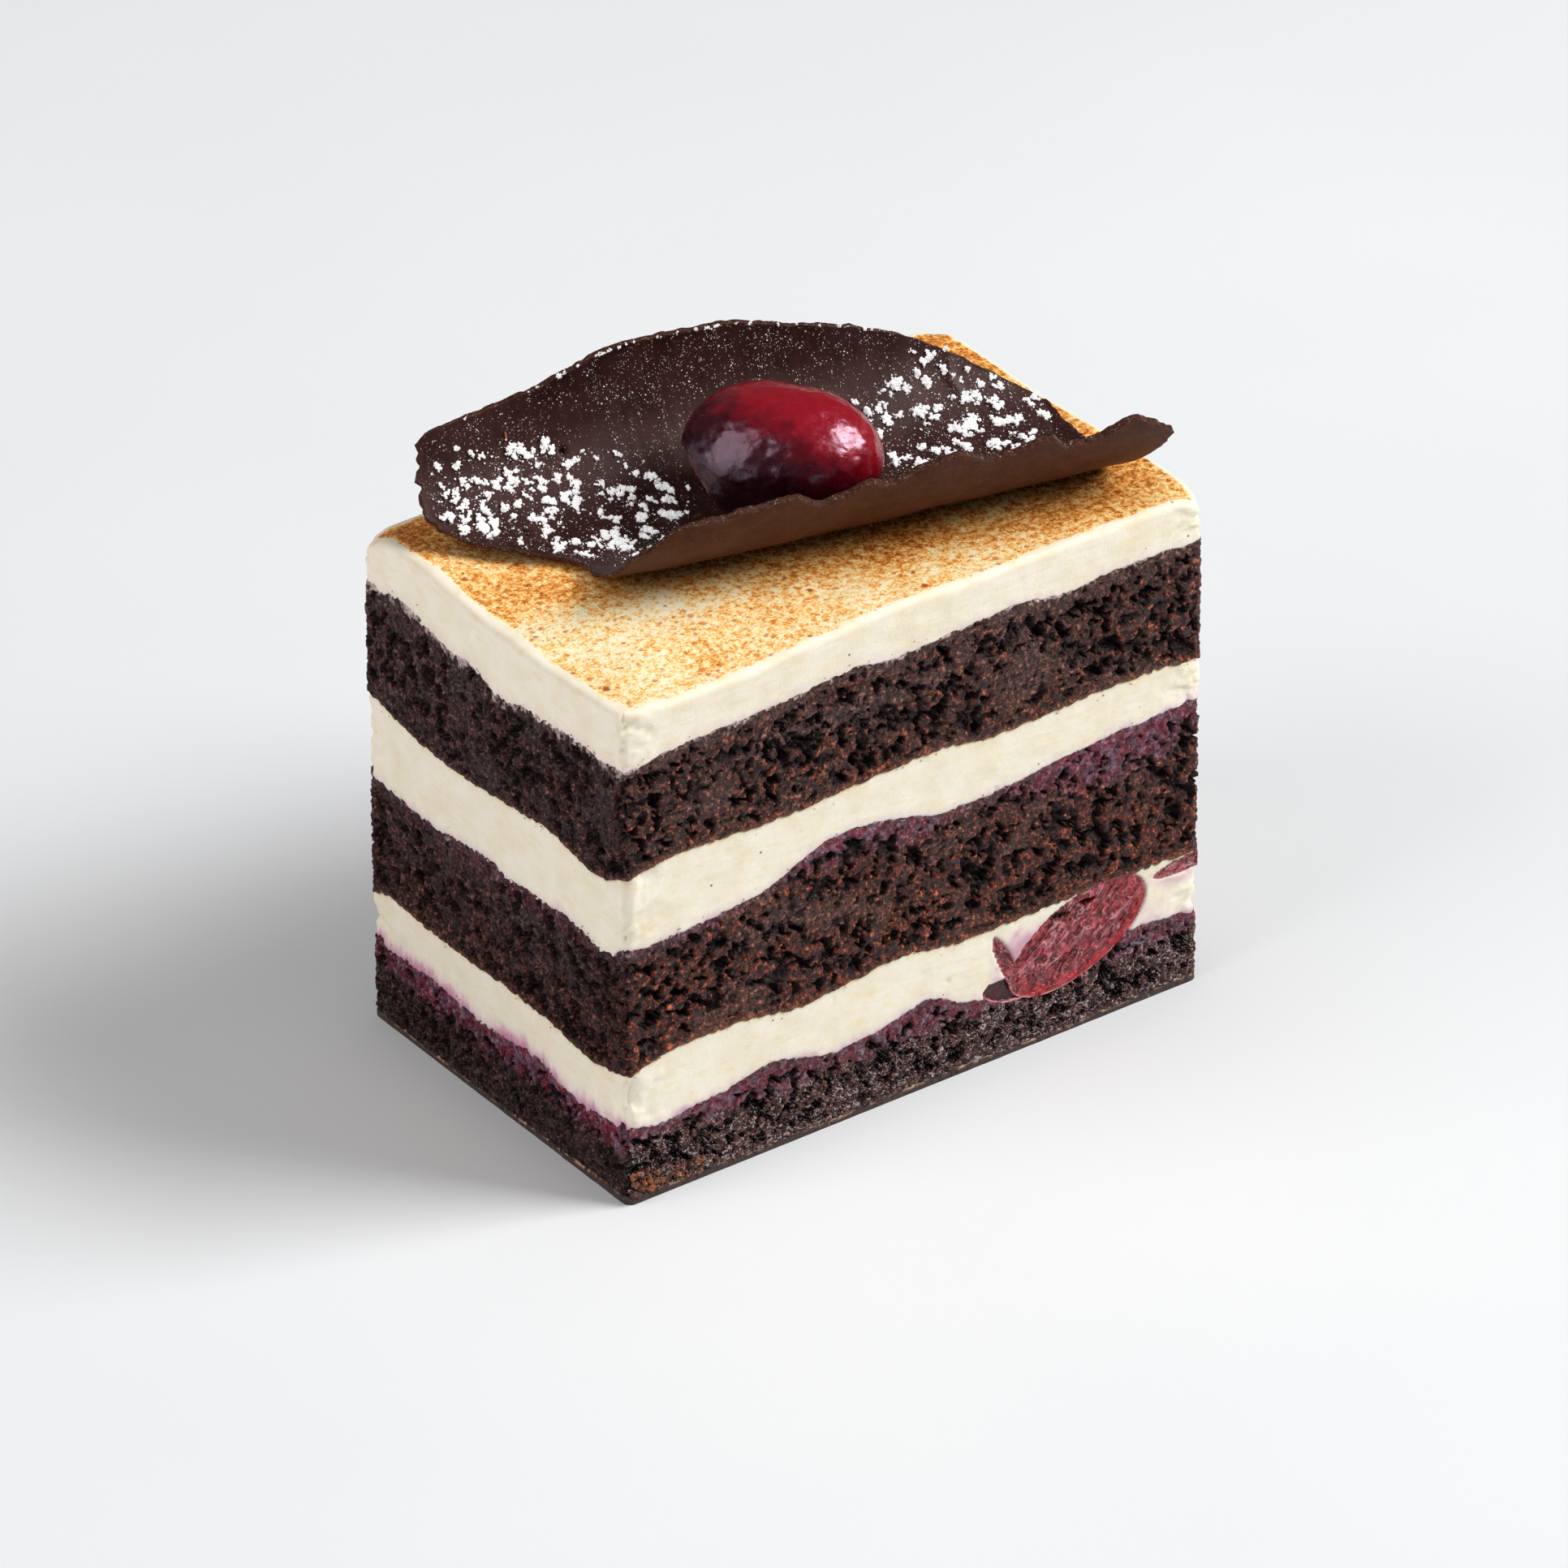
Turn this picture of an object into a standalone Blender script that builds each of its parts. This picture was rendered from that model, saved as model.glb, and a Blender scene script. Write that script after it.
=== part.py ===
"""A slice of black forest cake, cut as a block with four straight sides.

From the base up: a thin chocolate coat, three chocolate sponges with two bands of cream between them, and a
third band of cream with a toasted top. The knife has cut through a cherry in the lowest cream. A bent sheet
of chocolate, dusted with icing sugar, lies on the top and holds a whole pitted cherry.

+Z up. The origin is the middle of the base. The long face that shows the cut cherry is at -Y, and the short
face on its left is at -X. Sizes below are in millimetres, and add_object() brings each mesh to metres.
"""

import math
import random

import bmesh
import bpy
from mathutils import Matrix, Vector, noise

MM = 0.001
GAP = 0.3  # air between two pieces that touch

# The block.
LENGTH = 91.2  # along X
WIDTH = 57.2  # along Y
COLUMNS_X = 25
COLUMNS_Y = 16
BORDER = 2.8  # how far in from the faces a seam keeps its waves, before it runs level
RING = 3.0  # width of the ring of faces round each hidden cap
CORNER_INSET = 0.25  # how far the four upright edges are worn back
SEAM_RELIEF = 0.15  # how far the faces lie back at a seam
ON_A_FACE = 0.001  # how near a point of the side lies to its face

# Seams between layers: where each comes out at the front face, as (x, height), at the left face, as
# (y, height), and how much it waves on the two other faces. The two lists share their height at the corner.
SEAMS = {
    "coat": {
        "front": [(-45, 1.2), (-20, 0.9), (5, 1.1), (20, 0.8), (45, 1.2)],
        "left": [(-28, 1.2), (0, 0.9), (28, 1.1)],
        "wave": 0.15,
    },
    "lower_cream_floor": {
        "front": [(-45, 11.3), (-39, 10.7), (-30, 11.8), (-22, 12.9), (-14, 10.9), (-5, 11.6), (2, 13.2),
                  (8, 10.2), (20, 10.0), (35, 11.5), (45, 10.5)],
        "left": [(-28, 11.3), (-17, 10.5), (-9, 12.2), (3, 11.3), (15, 12.2), (28, 12.2)],
        "wave": 0.8,
    },
    "lower_cream_roof": {
        "front": [(-45, 19.3), (-39, 20.9), (-26, 21.0), (-20, 19.8), (-11, 20.4), (-3, 21.3), (6, 20.1),
                  (30, 20.2), (45, 19.8)],
        "left": [(-28, 19.3), (-21, 18.3), (-10, 19.4), (15, 19.4), (24, 20.0), (28, 18.9)],
        "wave": 0.6,
    },
    "upper_cream_floor": {
        "front": [(-45, 37.2), (-33, 37.9), (-24, 38.9), (-18, 41.4), (-12, 43.0), (-5, 42.4), (3, 40.3),
                  (14, 40.4), (25, 41.7), (45, 42.6)],
        "left": [(-28, 37.2), (-23, 36.0), (-17, 36.9), (-5, 36.3), (4, 36.9), (14, 35.7), (28, 37.2)],
        "wave": 0.9,
    },
    "upper_cream_roof": {
        "front": [(-45, 48.2), (-38, 49.3), (-20, 48.8), (-9, 49.4), (5, 49.8), (11, 48.8), (34, 49.4),
                  (45, 48.6)],
        "left": [(-28, 48.2), (-23, 46.5), (-12, 47.9), (0, 46.9), (13, 46.6), (22, 47.9), (28, 49.2)],
        "wave": 0.7,
    },
    "top_cream_floor": {
        "front": [(-45, 63.5), (-38, 64.7), (-22, 65.3), (-10, 66.3), (-4, 65.5), (6, 66.2), (15, 66.7),
                  (22, 65.7), (33, 66.3), (45, 66.2)],
        "left": [(-28, 63.5), (-15, 63.9), (-7, 63.1), (-3, 62.2), (3, 64.0), (10, 63.8), (18, 66.0),
                 (28, 65.0)],
        "wave": 0.8,
    },
    "crown": {
        "front": [(-45, 71.9), (-28, 71.6), (-15, 72.3), (-3, 73.0), (10, 72.7), (28, 72.8), (45, 72.8)],
        "left": [(-28, 71.9), (-14, 71.2), (-3, 71.5), (6, 72.1), (15, 73.2), (22, 72.8), (28, 71.7)],
        "wave": 0.4,
    },
}
LEVELS = {
    "coat": 1.0,
    "lower_cream_floor": 11.4,
    "lower_cream_roof": 19.8,
    "upper_cream_floor": 39.0,
    "upper_cream_roof": 48.4,
    "top_cream_floor": 65.0,
    "crown": 72.2,
}
BACK_WAVE = (9.0, 11.0)  # how fast the seams wave along the back face, and how much each is shifted
RIGHT_WAVE = (7.0, 17.0)  # the same for the right face
CROWN_BUMP = 0.18  # unevenness of the top
CROWN_GRAIN = 6.0  # over about this distance
CROWN_EASE = 14.0  # the top eases from its wavy edge to its level over this distance
CORNER_DROP = 1.9  # the cream slumps by this much at the back left and the right corners of the top
CORNER_SLUMP = 2.6  # over about this distance

MOST_ROWS = 4
# Layers from the base up: name, seam below, seam above, rows of faces up the side, relief and its grain.
LAYERS = [
    ("chocolate_base", None, "coat", 1, 0.10, 5.0),
    ("sponge_bottom", "coat", "lower_cream_floor", 3, 0.40, 2.6),
    ("cream_lower", "lower_cream_floor", "lower_cream_roof", 3, 0.12, 7.0),
    ("sponge_middle", "lower_cream_roof", "upper_cream_floor", 4, 0.40, 2.6),
    ("cream_upper", "upper_cream_floor", "upper_cream_roof", 3, 0.12, 7.0),
    ("sponge_top", "upper_cream_roof", "top_cream_floor", 4, 0.40, 2.6),
    ("cream_top", "top_cream_floor", "crown", 3, 0.12, 7.0),
]

# The bent sheet of chocolate: part of a cylinder that lies on the top.
SHEET_RADIUS = 19.0  # outside of the bend
SHEET_THICKNESS = 1.1
SHEET_MIDDLE = (-1.5, -1.5)  # a point of the line on which it rests
SHEET_HEADING = -11.7  # degrees, of that line from +X
SHEET_REST = 72.5  # height of that line
SHEET_RIPPLE = 0.25
RIPPLE_GRAIN = (9.0, 25.0)  # along the line, and degrees round the bend
RIPPLE_FROM = 30.0  # degrees from the line at which the ripple is whole
SHEET_FACES_ALONG = 42
SHEET_FACES_ACROSS = 14
# Outline of the sheet: the rims as (distance along the line, degrees round the bend), and the two ends as
# (degrees, distance). Minus degrees are the front lip.
LIP_RIM = [(-24.3, -63), (-20.8, -71), (-10.8, -72), (-5.6, -74), (-2.6, -67), (0.6, -68), (4.4, -73),
           (7.3, -70.5), (15.8, -77), (19.6, -72), (23.3, -70), (29.1, -75), (31.9, -68), (35.5, -68),
           (41.1, -75), (47.0, -61)]
BACK_RIM = [(-42.6, 68), (-40.5, 73), (-29.4, 78), (-21.8, 85), (-14.0, 91), (-4.0, 91), (1.5, 90),
            (9.0, 84), (17.7, 77), (26.9, 65), (34.3, 49), (41.3, 29)]
LEFT_END = [(-63, -24.3), (-52, -27.4), (-38, -28.2), (-14, -27.7), (1, -29.2), (16, -36.1), (31, -42.4),
            (40, -43.6), (68, -42.6)]
RIGHT_END = [(-61, 47.0), (-40, 44.6), (4, 43.1), (29, 41.3)]

# Icing sugar: the clumps that are large enough to be shaped, in two drifts on the inside of the sheet.
CLUMP_COUNT = 54
CLUMP_RADIUS = (0.75, 1.45)
CLUMP_WIDTH = (0.6, 0.9)  # shares of the radius
CLUMP_HEIGHT = 0.6
CLUMP_SINK = 0.15  # share of the radius by which a clump's middle lies in the chocolate
CLUMP_MARGIN = 0.08  # share of the sheet's length and width that stays bare along its rims
CLUMP_SEED = 11
# Each drift: middle along the line, middle round the bend in degrees, half-length, half-width in degrees.
DRIFTS = [(-28.0, 26.0, 18.0, 30.0), (28.0, 30.0, 14.0, 28.0)]

# The cherry in the sheet.
CHERRY_PLACE = (-0.3, -2.9, 10.9)  # along the line, across it, and above it
CHERRY_HEADING = -41.0  # degrees of its long axis from the sheet's line
CHERRY_TIP_LENGTH = 13.4  # from the middle to the left end, before the cut
CHERRY_BUTT_LENGTH = 12.3  # from the middle to the right end
CHERRY_HALF_WIDTH = 9.2
CHERRY_HALF_HEIGHT = 8.6
CHERRY_CUT_NORMAL = (-0.79, -0.42, -0.44)
CHERRY_CUT_DISTANCE = 11.1
CHERRY_HOLLOW = 3.2  # depth of the pit's hollow, in the cut end

# The cherry that the knife cut, as an ellipse on the front face: middle, half-axes and tilt.
CUT_CHERRY_MIDDLE = (25.8, 13.7)
CUT_CHERRY_HALF = (11.6, 8.6, 6.1)  # along the face, into the cake, across
CUT_CHERRY_TILT = 20.0
FLAP_MIDDLE = (14.4, 13.6)  # the loose skin at its left end
FLAP_HALF = (5.4, 4.0, 1.15)
FLAP_TILT = 114.0
SCRAP_MIDDLE = (14.6, 9.6)  # the dark scrap of cherry below the skin
SCRAP_HALF = (4.4, 3.2, 1.9)
SCRAP_TILT = -16.0
SLIVER_MIDDLE = (44.5, 18.4)  # the thin slice of cherry at the right end
SLIVER_HALF = (6.6, 5.0, 1.2)
SLIVER_TILT = 3.0
FRUIT_BACK = 0.4  # how far cut fruit lies behind the front face
SCRAP_BACK = 0.9

COLOURS = {
    "chocolate": ((0.045, 0.022, 0.016), 0.35),
    "sponge": ((0.032, 0.015, 0.011), 0.85),
    "cream": ((0.86, 0.78, 0.60), 0.55),
    "toasted_cream": ((0.80, 0.60, 0.32), 0.6),
    "cherry": ((0.22, 0.006, 0.012), 0.18),
    "cut_cherry": ((0.33, 0.03, 0.05), 0.3),
}


# ---------------------------------------------------------------- helpers


def clear_scene():
    for obj in list(bpy.data.objects):
        bpy.data.objects.remove(obj, do_unlink=True)


def new_collection(name, hidden=False):
    collection = bpy.data.collections.new(name)
    bpy.context.scene.collection.children.link(collection)
    collection.hide_render = hidden
    return collection


def material(name):
    found = bpy.data.materials.get(name)
    if found:
        return found
    colour, roughness = COLOURS[name]
    made = bpy.data.materials.new(name)
    made.use_nodes = True
    shader = made.node_tree.nodes["Principled BSDF"]
    shader.inputs["Base Color"].default_value = (*colour, 1.0)
    shader.inputs["Roughness"].default_value = roughness
    shader.inputs["Metallic"].default_value = 0.0
    made.diffuse_color = (*colour, 1.0)
    return made


def add_object(name, bm, collection, look=None, smooth=True):
    """Turns a bmesh in millimetres into an object in metres."""
    bmesh.ops.scale(bm, vec=(MM, MM, MM), verts=bm.verts)
    bmesh.ops.recalc_face_normals(bm, faces=bm.faces)
    mesh = bpy.data.meshes.new(name)
    bm.to_mesh(mesh)
    bm.free()
    obj = bpy.data.objects.new(name, mesh)
    collection.objects.link(obj)
    if look:
        mesh.materials.append(material(look))
    if smooth:
        mesh.shade_smooth()
    return obj


def as_cutter(obj):
    obj.hide_render = True
    obj.display_type = "WIRE"
    return obj


def add_boolean(obj, other, operation):
    modifier = obj.modifiers.new(operation.lower() + "_" + other.name, "BOOLEAN")
    modifier.operation = operation
    modifier.object = other
    modifier.solver = "EXACT"


def smooth_step(t):
    t = min(max(t, 0.0), 1.0)
    return t * t * (3.0 - 2.0 * t)


def through(points, at):
    """Height at a place on the smooth curve through (place, height) points."""
    last = len(points) - 1
    i = 0
    while i < last - 1 and at > points[i + 1][0]:
        i += 1
    (x0, y0), (x1, y1) = points[i], points[i + 1]
    before = points[max(i - 1, 0)]
    after = points[min(i + 2, last)]
    slope0 = (y1 - before[1]) / (x1 - before[0])
    slope1 = (after[1] - y0) / (after[0] - x0)
    run = x1 - x0
    t = min(max((at - x0) / run, 0.0), 1.0)
    square, cube = t * t, t * t * t
    return (
        (2 * cube - 3 * square + 1) * y0
        + (cube - 2 * square + t) * run * slope0
        + (3 * square - 2 * cube) * y1
        + (cube - square) * run * slope1
    )


# ---------------------------------------------------------------- the layers


def edge_heights(seam, x, y):
    """Height of a seam at (x, y), from the curves that it draws on the four faces."""
    front, left, wave = seam["front"], seam["left"], seam["wave"]
    u, v = x / LENGTH + 0.5, y / WIDTH + 0.5
    near_left, near_right, far_left = front[0][1], front[-1][1], left[-1][1]
    far_right = 0.5 * (near_right + far_left)
    swell = math.sin(math.pi * u) * math.sin(BACK_WAVE[0] * u + BACK_WAVE[1] * wave)
    back = far_left + u * (far_right - far_left) + wave * swell
    swell = math.sin(math.pi * v) * math.sin(RIGHT_WAVE[0] * v + RIGHT_WAVE[1] * wave)
    right = near_right + v * (far_right - near_right) + wave * swell
    near = (1 - u) * near_left + u * near_right
    far = (1 - u) * far_left + u * far_right
    corners = (1 - v) * near + v * far
    return (1 - v) * through(front, x) + v * back + (1 - u) * through(left, y) + u * right - corners


def inset_from_faces(x, y):
    return min(LENGTH / 2 - abs(x), WIDTH / 2 - abs(y))


def under_sheet(x, y):
    """The height that the cream keeps below the bent sheet, whose weight has pressed it level."""
    across = (sheet_frame().inverted() @ Vector((x, y, SHEET_REST))).y
    if abs(across) >= SHEET_RADIUS:
        return math.inf
    return SHEET_REST + SHEET_RADIUS - math.sqrt(SHEET_RADIUS**2 - across**2) - GAP


def seam_height(name, x, y):
    """Wavy where the seam shows, and level inside the cake."""
    inset = inset_from_faces(x, y)
    ease = CROWN_EASE if name == "crown" else BORDER
    share = 1.0 - smooth_step(inset / ease)
    height = LEVELS[name] + share * (edge_heights(SEAMS[name], x, y) - LEVELS[name])
    if name == "crown":
        height += CROWN_BUMP * noise.noise(Vector((x, y, 0.0)) / CROWN_GRAIN)
        for corner in ((-1, 1), (1, 1), (1, -1)):
            away = math.hypot(x - corner[0] * LENGTH / 2, y - corner[1] * WIDTH / 2)
            height -= CORNER_DROP * math.exp(-((away / CORNER_SLUMP) ** 2))
        height = min(height, under_sheet(x, y))
    return height


def side_lattice(rows, keep_top):
    """An upright box of unit height, cut into columns and rows, with a border ring round each flat cap."""
    bm = bmesh.new()
    bmesh.ops.create_cube(bm, size=1.0)
    block = Matrix.Diagonal((LENGTH, WIDTH, 1.0, 1.0)) @ Matrix.Translation((0, 0, 0.5))
    bmesh.ops.transform(bm, matrix=block, verts=bm.verts)
    caps = [face for face in bm.faces if abs(face.normal.z) > 0.5]
    dropped = [face for face in caps if face.normal.z < 0 or not keep_top]
    bmesh.ops.delete(bm, geom=dropped, context="FACES_ONLY")
    cuts = [((LENGTH * (i / COLUMNS_X - 0.5), 0, 0), (1, 0, 0)) for i in range(1, COLUMNS_X)]
    cuts += [((0, WIDTH * (i / COLUMNS_Y - 0.5), 0), (0, 1, 0)) for i in range(1, COLUMNS_Y)]
    cuts += [((0, 0, i / rows), (0, 0, 1)) for i in range(1, rows)]
    for point, normal in cuts:
        everything = bm.verts[:] + bm.edges[:] + bm.faces[:]
        bmesh.ops.bisect_plane(bm, geom=everything, plane_co=point, plane_no=normal)
    rims = [edge for edge in bm.edges if edge.is_boundary]
    made = bmesh.ops.edgeloop_fill(bm, edges=rims)["faces"]
    for face in made:
        bmesh.ops.inset_region(bm, faces=[face], thickness=RING)
    return bm


def outward(x, y):
    """Which way a point of the side faces, as a plan vector, or None inside the block."""
    out = Vector((0.0, 0.0, 0.0))
    if LENGTH / 2 - abs(x) < ON_A_FACE:
        out.x = math.copysign(1.0, x)
    if WIDTH / 2 - abs(y) < ON_A_FACE:
        out.y = math.copysign(1.0, y)
    return out if out.length else None


def face_relief(point, share, relief, grain):
    """How far a point of a face stands proud. Layers share their outline at a seam, so it is level there."""
    if min(share, 1.0 - share) < 0.5 / MOST_ROWS:
        return -SEAM_RELIEF
    return relief * (noise.noise(point / grain) - 1.0)


def make_layer(collection, name, below, above, rows, relief, grain):
    is_top = name == "cream_top"
    bm = side_lattice(rows, keep_top=is_top)
    for vert in bm.verts:
        x, y, share = vert.co
        low = seam_height(below, x, y) + GAP / 2 if below else 0.0
        high = seam_height(above, x, y) - (0.0 if is_top else GAP / 2)
        height = low + share * (high - low)
        out = outward(x, y)
        vert.co.z = height
        if out:
            wear = CORNER_INSET if out.x and out.y else 0.0
            vert.co += out * (face_relief(vert.co, share, relief, grain) - wear)
    bmesh.ops.triangulate(bm, faces=bm.faces, quad_method="SHORT_EDGE", ngon_method="BEAUTY")
    look = "chocolate" if name == "chocolate_base" else name.split("_")[0]
    obj = add_object(name, bm, collection, look, smooth=False)
    if is_top:
        obj.data.materials.append(material("toasted_cream"))
        for face in obj.data.polygons:
            face.material_index = 1 if face.normal.z > 0.8 else 0
    return obj


# ---------------------------------------------------------------- the cut cherry


def face_ellipsoid(middle, half, tilt, grow, segments=20, rings=10):
    """An ellipsoid centred on the front face, tilted in it."""
    bm = bmesh.new()
    bmesh.ops.create_uvsphere(bm, u_segments=segments, v_segments=rings, radius=1.0)
    sizes = [size + grow for size in half]
    place = Matrix.Translation((middle[0], -WIDTH / 2, middle[1]))
    turn = Matrix.Rotation(math.radians(-tilt), 4, "Y")
    bmesh.ops.transform(bm, matrix=place @ turn @ Matrix.Diagonal((*sizes, 1.0)), verts=bm.verts)
    return bm


def slice_off(bm, point, normal):
    """Removes what lies on the normal's side of a plane and closes the cut."""
    everything = bm.verts[:] + bm.edges[:] + bm.faces[:]
    bmesh.ops.bisect_plane(bm, geom=everything, plane_co=point, plane_no=normal, clear_outer=True)
    rim = [edge for edge in bm.edges if edge.is_boundary]
    return bmesh.ops.edgeloop_fill(bm, edges=rim)["faces"]


def fruit_in_face(name, collection, middle, half, tilt, look, back=FRUIT_BACK):
    """A piece of fruit cut flush with the front face, or a little behind it."""
    bm = face_ellipsoid(middle, half, tilt, 0.0)
    slice_off(bm, (0, -WIDTH / 2 + back, 0), (0, -1, 0))
    if middle[0] + half[0] > LENGTH / 2:
        slice_off(bm, (LENGTH / 2 - back, 0, 0), (1, 0, 0))
    return add_object(name, bm, collection, look)


def fruit_hollow(name, collection, middle, half, tilt):
    return as_cutter(add_object(name, face_ellipsoid(middle, half, tilt, GAP), collection))


def make_cut_fruit(parts, cutters, layers):
    cherry = (CUT_CHERRY_MIDDLE, CUT_CHERRY_HALF, CUT_CHERRY_TILT)
    flap = (FLAP_MIDDLE, FLAP_HALF, FLAP_TILT)
    scrap = (SCRAP_MIDDLE, SCRAP_HALF, SCRAP_TILT)
    sliver = (SLIVER_MIDDLE, SLIVER_HALF, SLIVER_TILT)
    whole = fruit_in_face("cherry_filling", parts, *cherry, "cut_cherry")
    skin = as_cutter(fruit_in_face("flap_skin", cutters, *flap, "cut_cherry"))
    add_boolean(whole, skin, "UNION")
    scrap_piece = fruit_in_face("cherry_scrap", parts, *scrap, "cherry", back=SCRAP_BACK)
    fruit_in_face("cherry_sliver", parts, *sliver, "cut_cherry")
    cherry_hollow = fruit_hollow("cherry_hollow", cutters, *cherry)
    flap_hollow = fruit_hollow("flap_hollow", cutters, *flap)
    scrap_hollow = fruit_hollow("scrap_hollow", cutters, *scrap)
    sliver_hollow = fruit_hollow("sliver_hollow", cutters, *sliver)
    for hollow in (cherry_hollow, flap_hollow):
        add_boolean(scrap_piece, hollow, "DIFFERENCE")
    for name in ("sponge_bottom", "cream_lower", "sponge_middle"):
        add_boolean(layers[name], cherry_hollow, "DIFFERENCE")
    for hollow in (flap_hollow, scrap_hollow, sliver_hollow):
        add_boolean(layers["cream_lower"], hollow, "DIFFERENCE")
    for hollow in (flap_hollow, scrap_hollow):
        add_boolean(layers["sponge_bottom"], hollow, "DIFFERENCE")
    add_boolean(layers["sponge_middle"], sliver_hollow, "DIFFERENCE")


# ---------------------------------------------------------------- the chocolate sheet


def sheet_frame():
    """Placement of the sheet's line: X along it, Y across it, Z up from where it rests."""
    turn = Matrix.Rotation(math.radians(SHEET_HEADING), 4, "Z")
    return Matrix.Translation((*SHEET_MIDDLE, SHEET_REST)) @ turn


def on_sheet(along, degrees, radius):
    """A point of the bend, in the sheet's own frame."""
    angle = math.radians(degrees)
    return Vector((along, radius * math.sin(angle), SHEET_RADIUS - radius * math.cos(angle)))


def sheet_patch(a, t):
    """(along, degrees) at a share a of the length and t of the way from the lip to the back rim."""
    lip_along = LIP_RIM[0][0] + a * (LIP_RIM[-1][0] - LIP_RIM[0][0])
    back_along = BACK_RIM[0][0] + a * (BACK_RIM[-1][0] - BACK_RIM[0][0])
    left_turn = LEFT_END[0][0] + t * (LEFT_END[-1][0] - LEFT_END[0][0])
    right_turn = RIGHT_END[0][0] + t * (RIGHT_END[-1][0] - RIGHT_END[0][0])
    lip = Vector((lip_along, through(LIP_RIM, lip_along)))
    back = Vector((back_along, through(BACK_RIM, back_along)))
    left = Vector((through(LEFT_END, left_turn), left_turn))
    right = Vector((through(RIGHT_END, right_turn), right_turn))
    corners = (
        (1 - a) * (1 - t) * Vector(LIP_RIM[0])
        + a * (1 - t) * Vector(LIP_RIM[-1])
        + (1 - a) * t * Vector(BACK_RIM[0])
        + a * t * Vector(BACK_RIM[-1])
    )
    return (1 - t) * lip + t * back + (1 - a) * left + a * right - corners


def bent_sheet(collection):
    bm = bmesh.new()
    bmesh.ops.create_grid(bm, x_segments=SHEET_FACES_ALONG, y_segments=SHEET_FACES_ACROSS, size=0.5)
    middle_radius = SHEET_RADIUS - SHEET_THICKNESS / 2
    for vert in bm.verts:
        along, degrees = sheet_patch(vert.co.x + 0.5, vert.co.y + 0.5)
        rise = smooth_step(abs(degrees) / RIPPLE_FROM)
        grain = Vector((along / RIPPLE_GRAIN[0], degrees / RIPPLE_GRAIN[1], 0.0))
        ripple = SHEET_RIPPLE * rise * noise.noise(grain)
        vert.co = sheet_frame() @ on_sheet(along, degrees, middle_radius + ripple)
    sheet = add_object("sheet", bm, collection)
    solidify = sheet.modifiers.new("thickness", "SOLIDIFY")
    solidify.thickness = SHEET_THICKNESS * MM
    solidify.offset = 0.0
    return sheet


def in_drift(along, degrees):
    """0 outside the drifts of sugar and up to 1 in the middle of one."""
    best = 0.0
    for middle, turn, half_length, half_width in DRIFTS:
        away = math.hypot((along - middle) / half_length, (degrees - turn) / half_width)
        best = max(best, 1.0 - away * away)
    return best


def clear_of_cherry(point, radius, cherry_place):
    """Whether a ball at this point, in the sheet's frame, misses the cherry."""
    local = cherry_place.inverted() @ point
    half = Vector((CHERRY_TIP_LENGTH, CHERRY_HALF_WIDTH, CHERRY_HALF_HEIGHT))
    room = radius + 2 * GAP
    return sum((local[i] / (half[i] + room)) ** 2 for i in range(3)) > 1.0


def sugar_clumps(collection, cherry_place):
    """Clumps of sugar on the inside of the sheet, by a seeded rule."""
    draw = random.Random(CLUMP_SEED)
    inner = SHEET_RADIUS - SHEET_THICKNESS
    made = 0
    while made < CLUMP_COUNT:
        spread = (CLUMP_MARGIN, 1.0 - CLUMP_MARGIN)
        along, degrees = sheet_patch(draw.uniform(*spread), draw.uniform(*spread))
        radius = draw.uniform(*CLUMP_RADIUS)
        point = on_sheet(along, degrees, inner + CLUMP_SINK * radius)
        turn = draw.uniform(0.0, math.pi)
        if draw.random() > in_drift(along, degrees):
            continue
        if not clear_of_cherry(point, radius, cherry_place):
            continue
        bm = bmesh.new()
        bmesh.ops.create_icosphere(bm, subdivisions=1, radius=radius)
        shape = Matrix.Diagonal((1.0, draw.uniform(*CLUMP_WIDTH), CLUMP_HEIGHT, 1.0))
        tilt = Matrix.Rotation(math.radians(-degrees), 4, "X").inverted()
        spin = Matrix.Rotation(turn, 4, "Z")
        place = sheet_frame() @ Matrix.Translation(point) @ tilt @ spin @ shape
        bmesh.ops.transform(bm, matrix=place, verts=bm.verts)
        add_object(f"clump_{made:02d}", bm, collection)
        made += 1


def make_curl(parts, cherry_place):
    """The sheet with its clumps joined on, as one mesh."""
    loose = new_collection("clumps", hidden=True)
    sugar_clumps(loose, cherry_place)
    sheet = bent_sheet(parts)
    join = sheet.modifiers.new("sugar", "BOOLEAN")
    join.operation = "UNION"
    join.operand_type = "COLLECTION"
    join.collection = loose
    join.solver = "EXACT"
    bpy.context.view_layer.update()
    graph = bpy.context.evaluated_depsgraph_get()
    mesh = bpy.data.meshes.new_from_object(sheet.evaluated_get(graph))
    mesh.name = "chocolate_curl"
    curl = bpy.data.objects.new("chocolate_curl", mesh)
    parts.objects.link(curl)
    mesh.materials.clear()
    mesh.materials.append(material("chocolate"))
    for obj in [sheet, *loose.objects]:
        bpy.data.objects.remove(obj, do_unlink=True)
    bpy.data.collections.remove(loose)
    return curl


# ---------------------------------------------------------------- the whole cherry


def cherry_shape():
    """The cherry in its own frame: X along it towards its butt, Z up, the cut end at -X."""
    bm = bmesh.new()
    bmesh.ops.create_uvsphere(bm, u_segments=24, v_segments=14, radius=1.0)
    for vert in bm.verts:
        length = CHERRY_BUTT_LENGTH if vert.co.x > 0 else CHERRY_TIP_LENGTH
        vert.co = Vector((vert.co.x * length, vert.co.y * CHERRY_HALF_WIDTH, vert.co.z * CHERRY_HALF_HEIGHT))
    normal = Vector(CHERRY_CUT_NORMAL).normalized()
    cut = slice_off(bm, normal * CHERRY_CUT_DISTANCE, normal)
    bmesh.ops.poke(bm, faces=cut, offset=-CHERRY_HOLLOW)
    return bm


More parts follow.
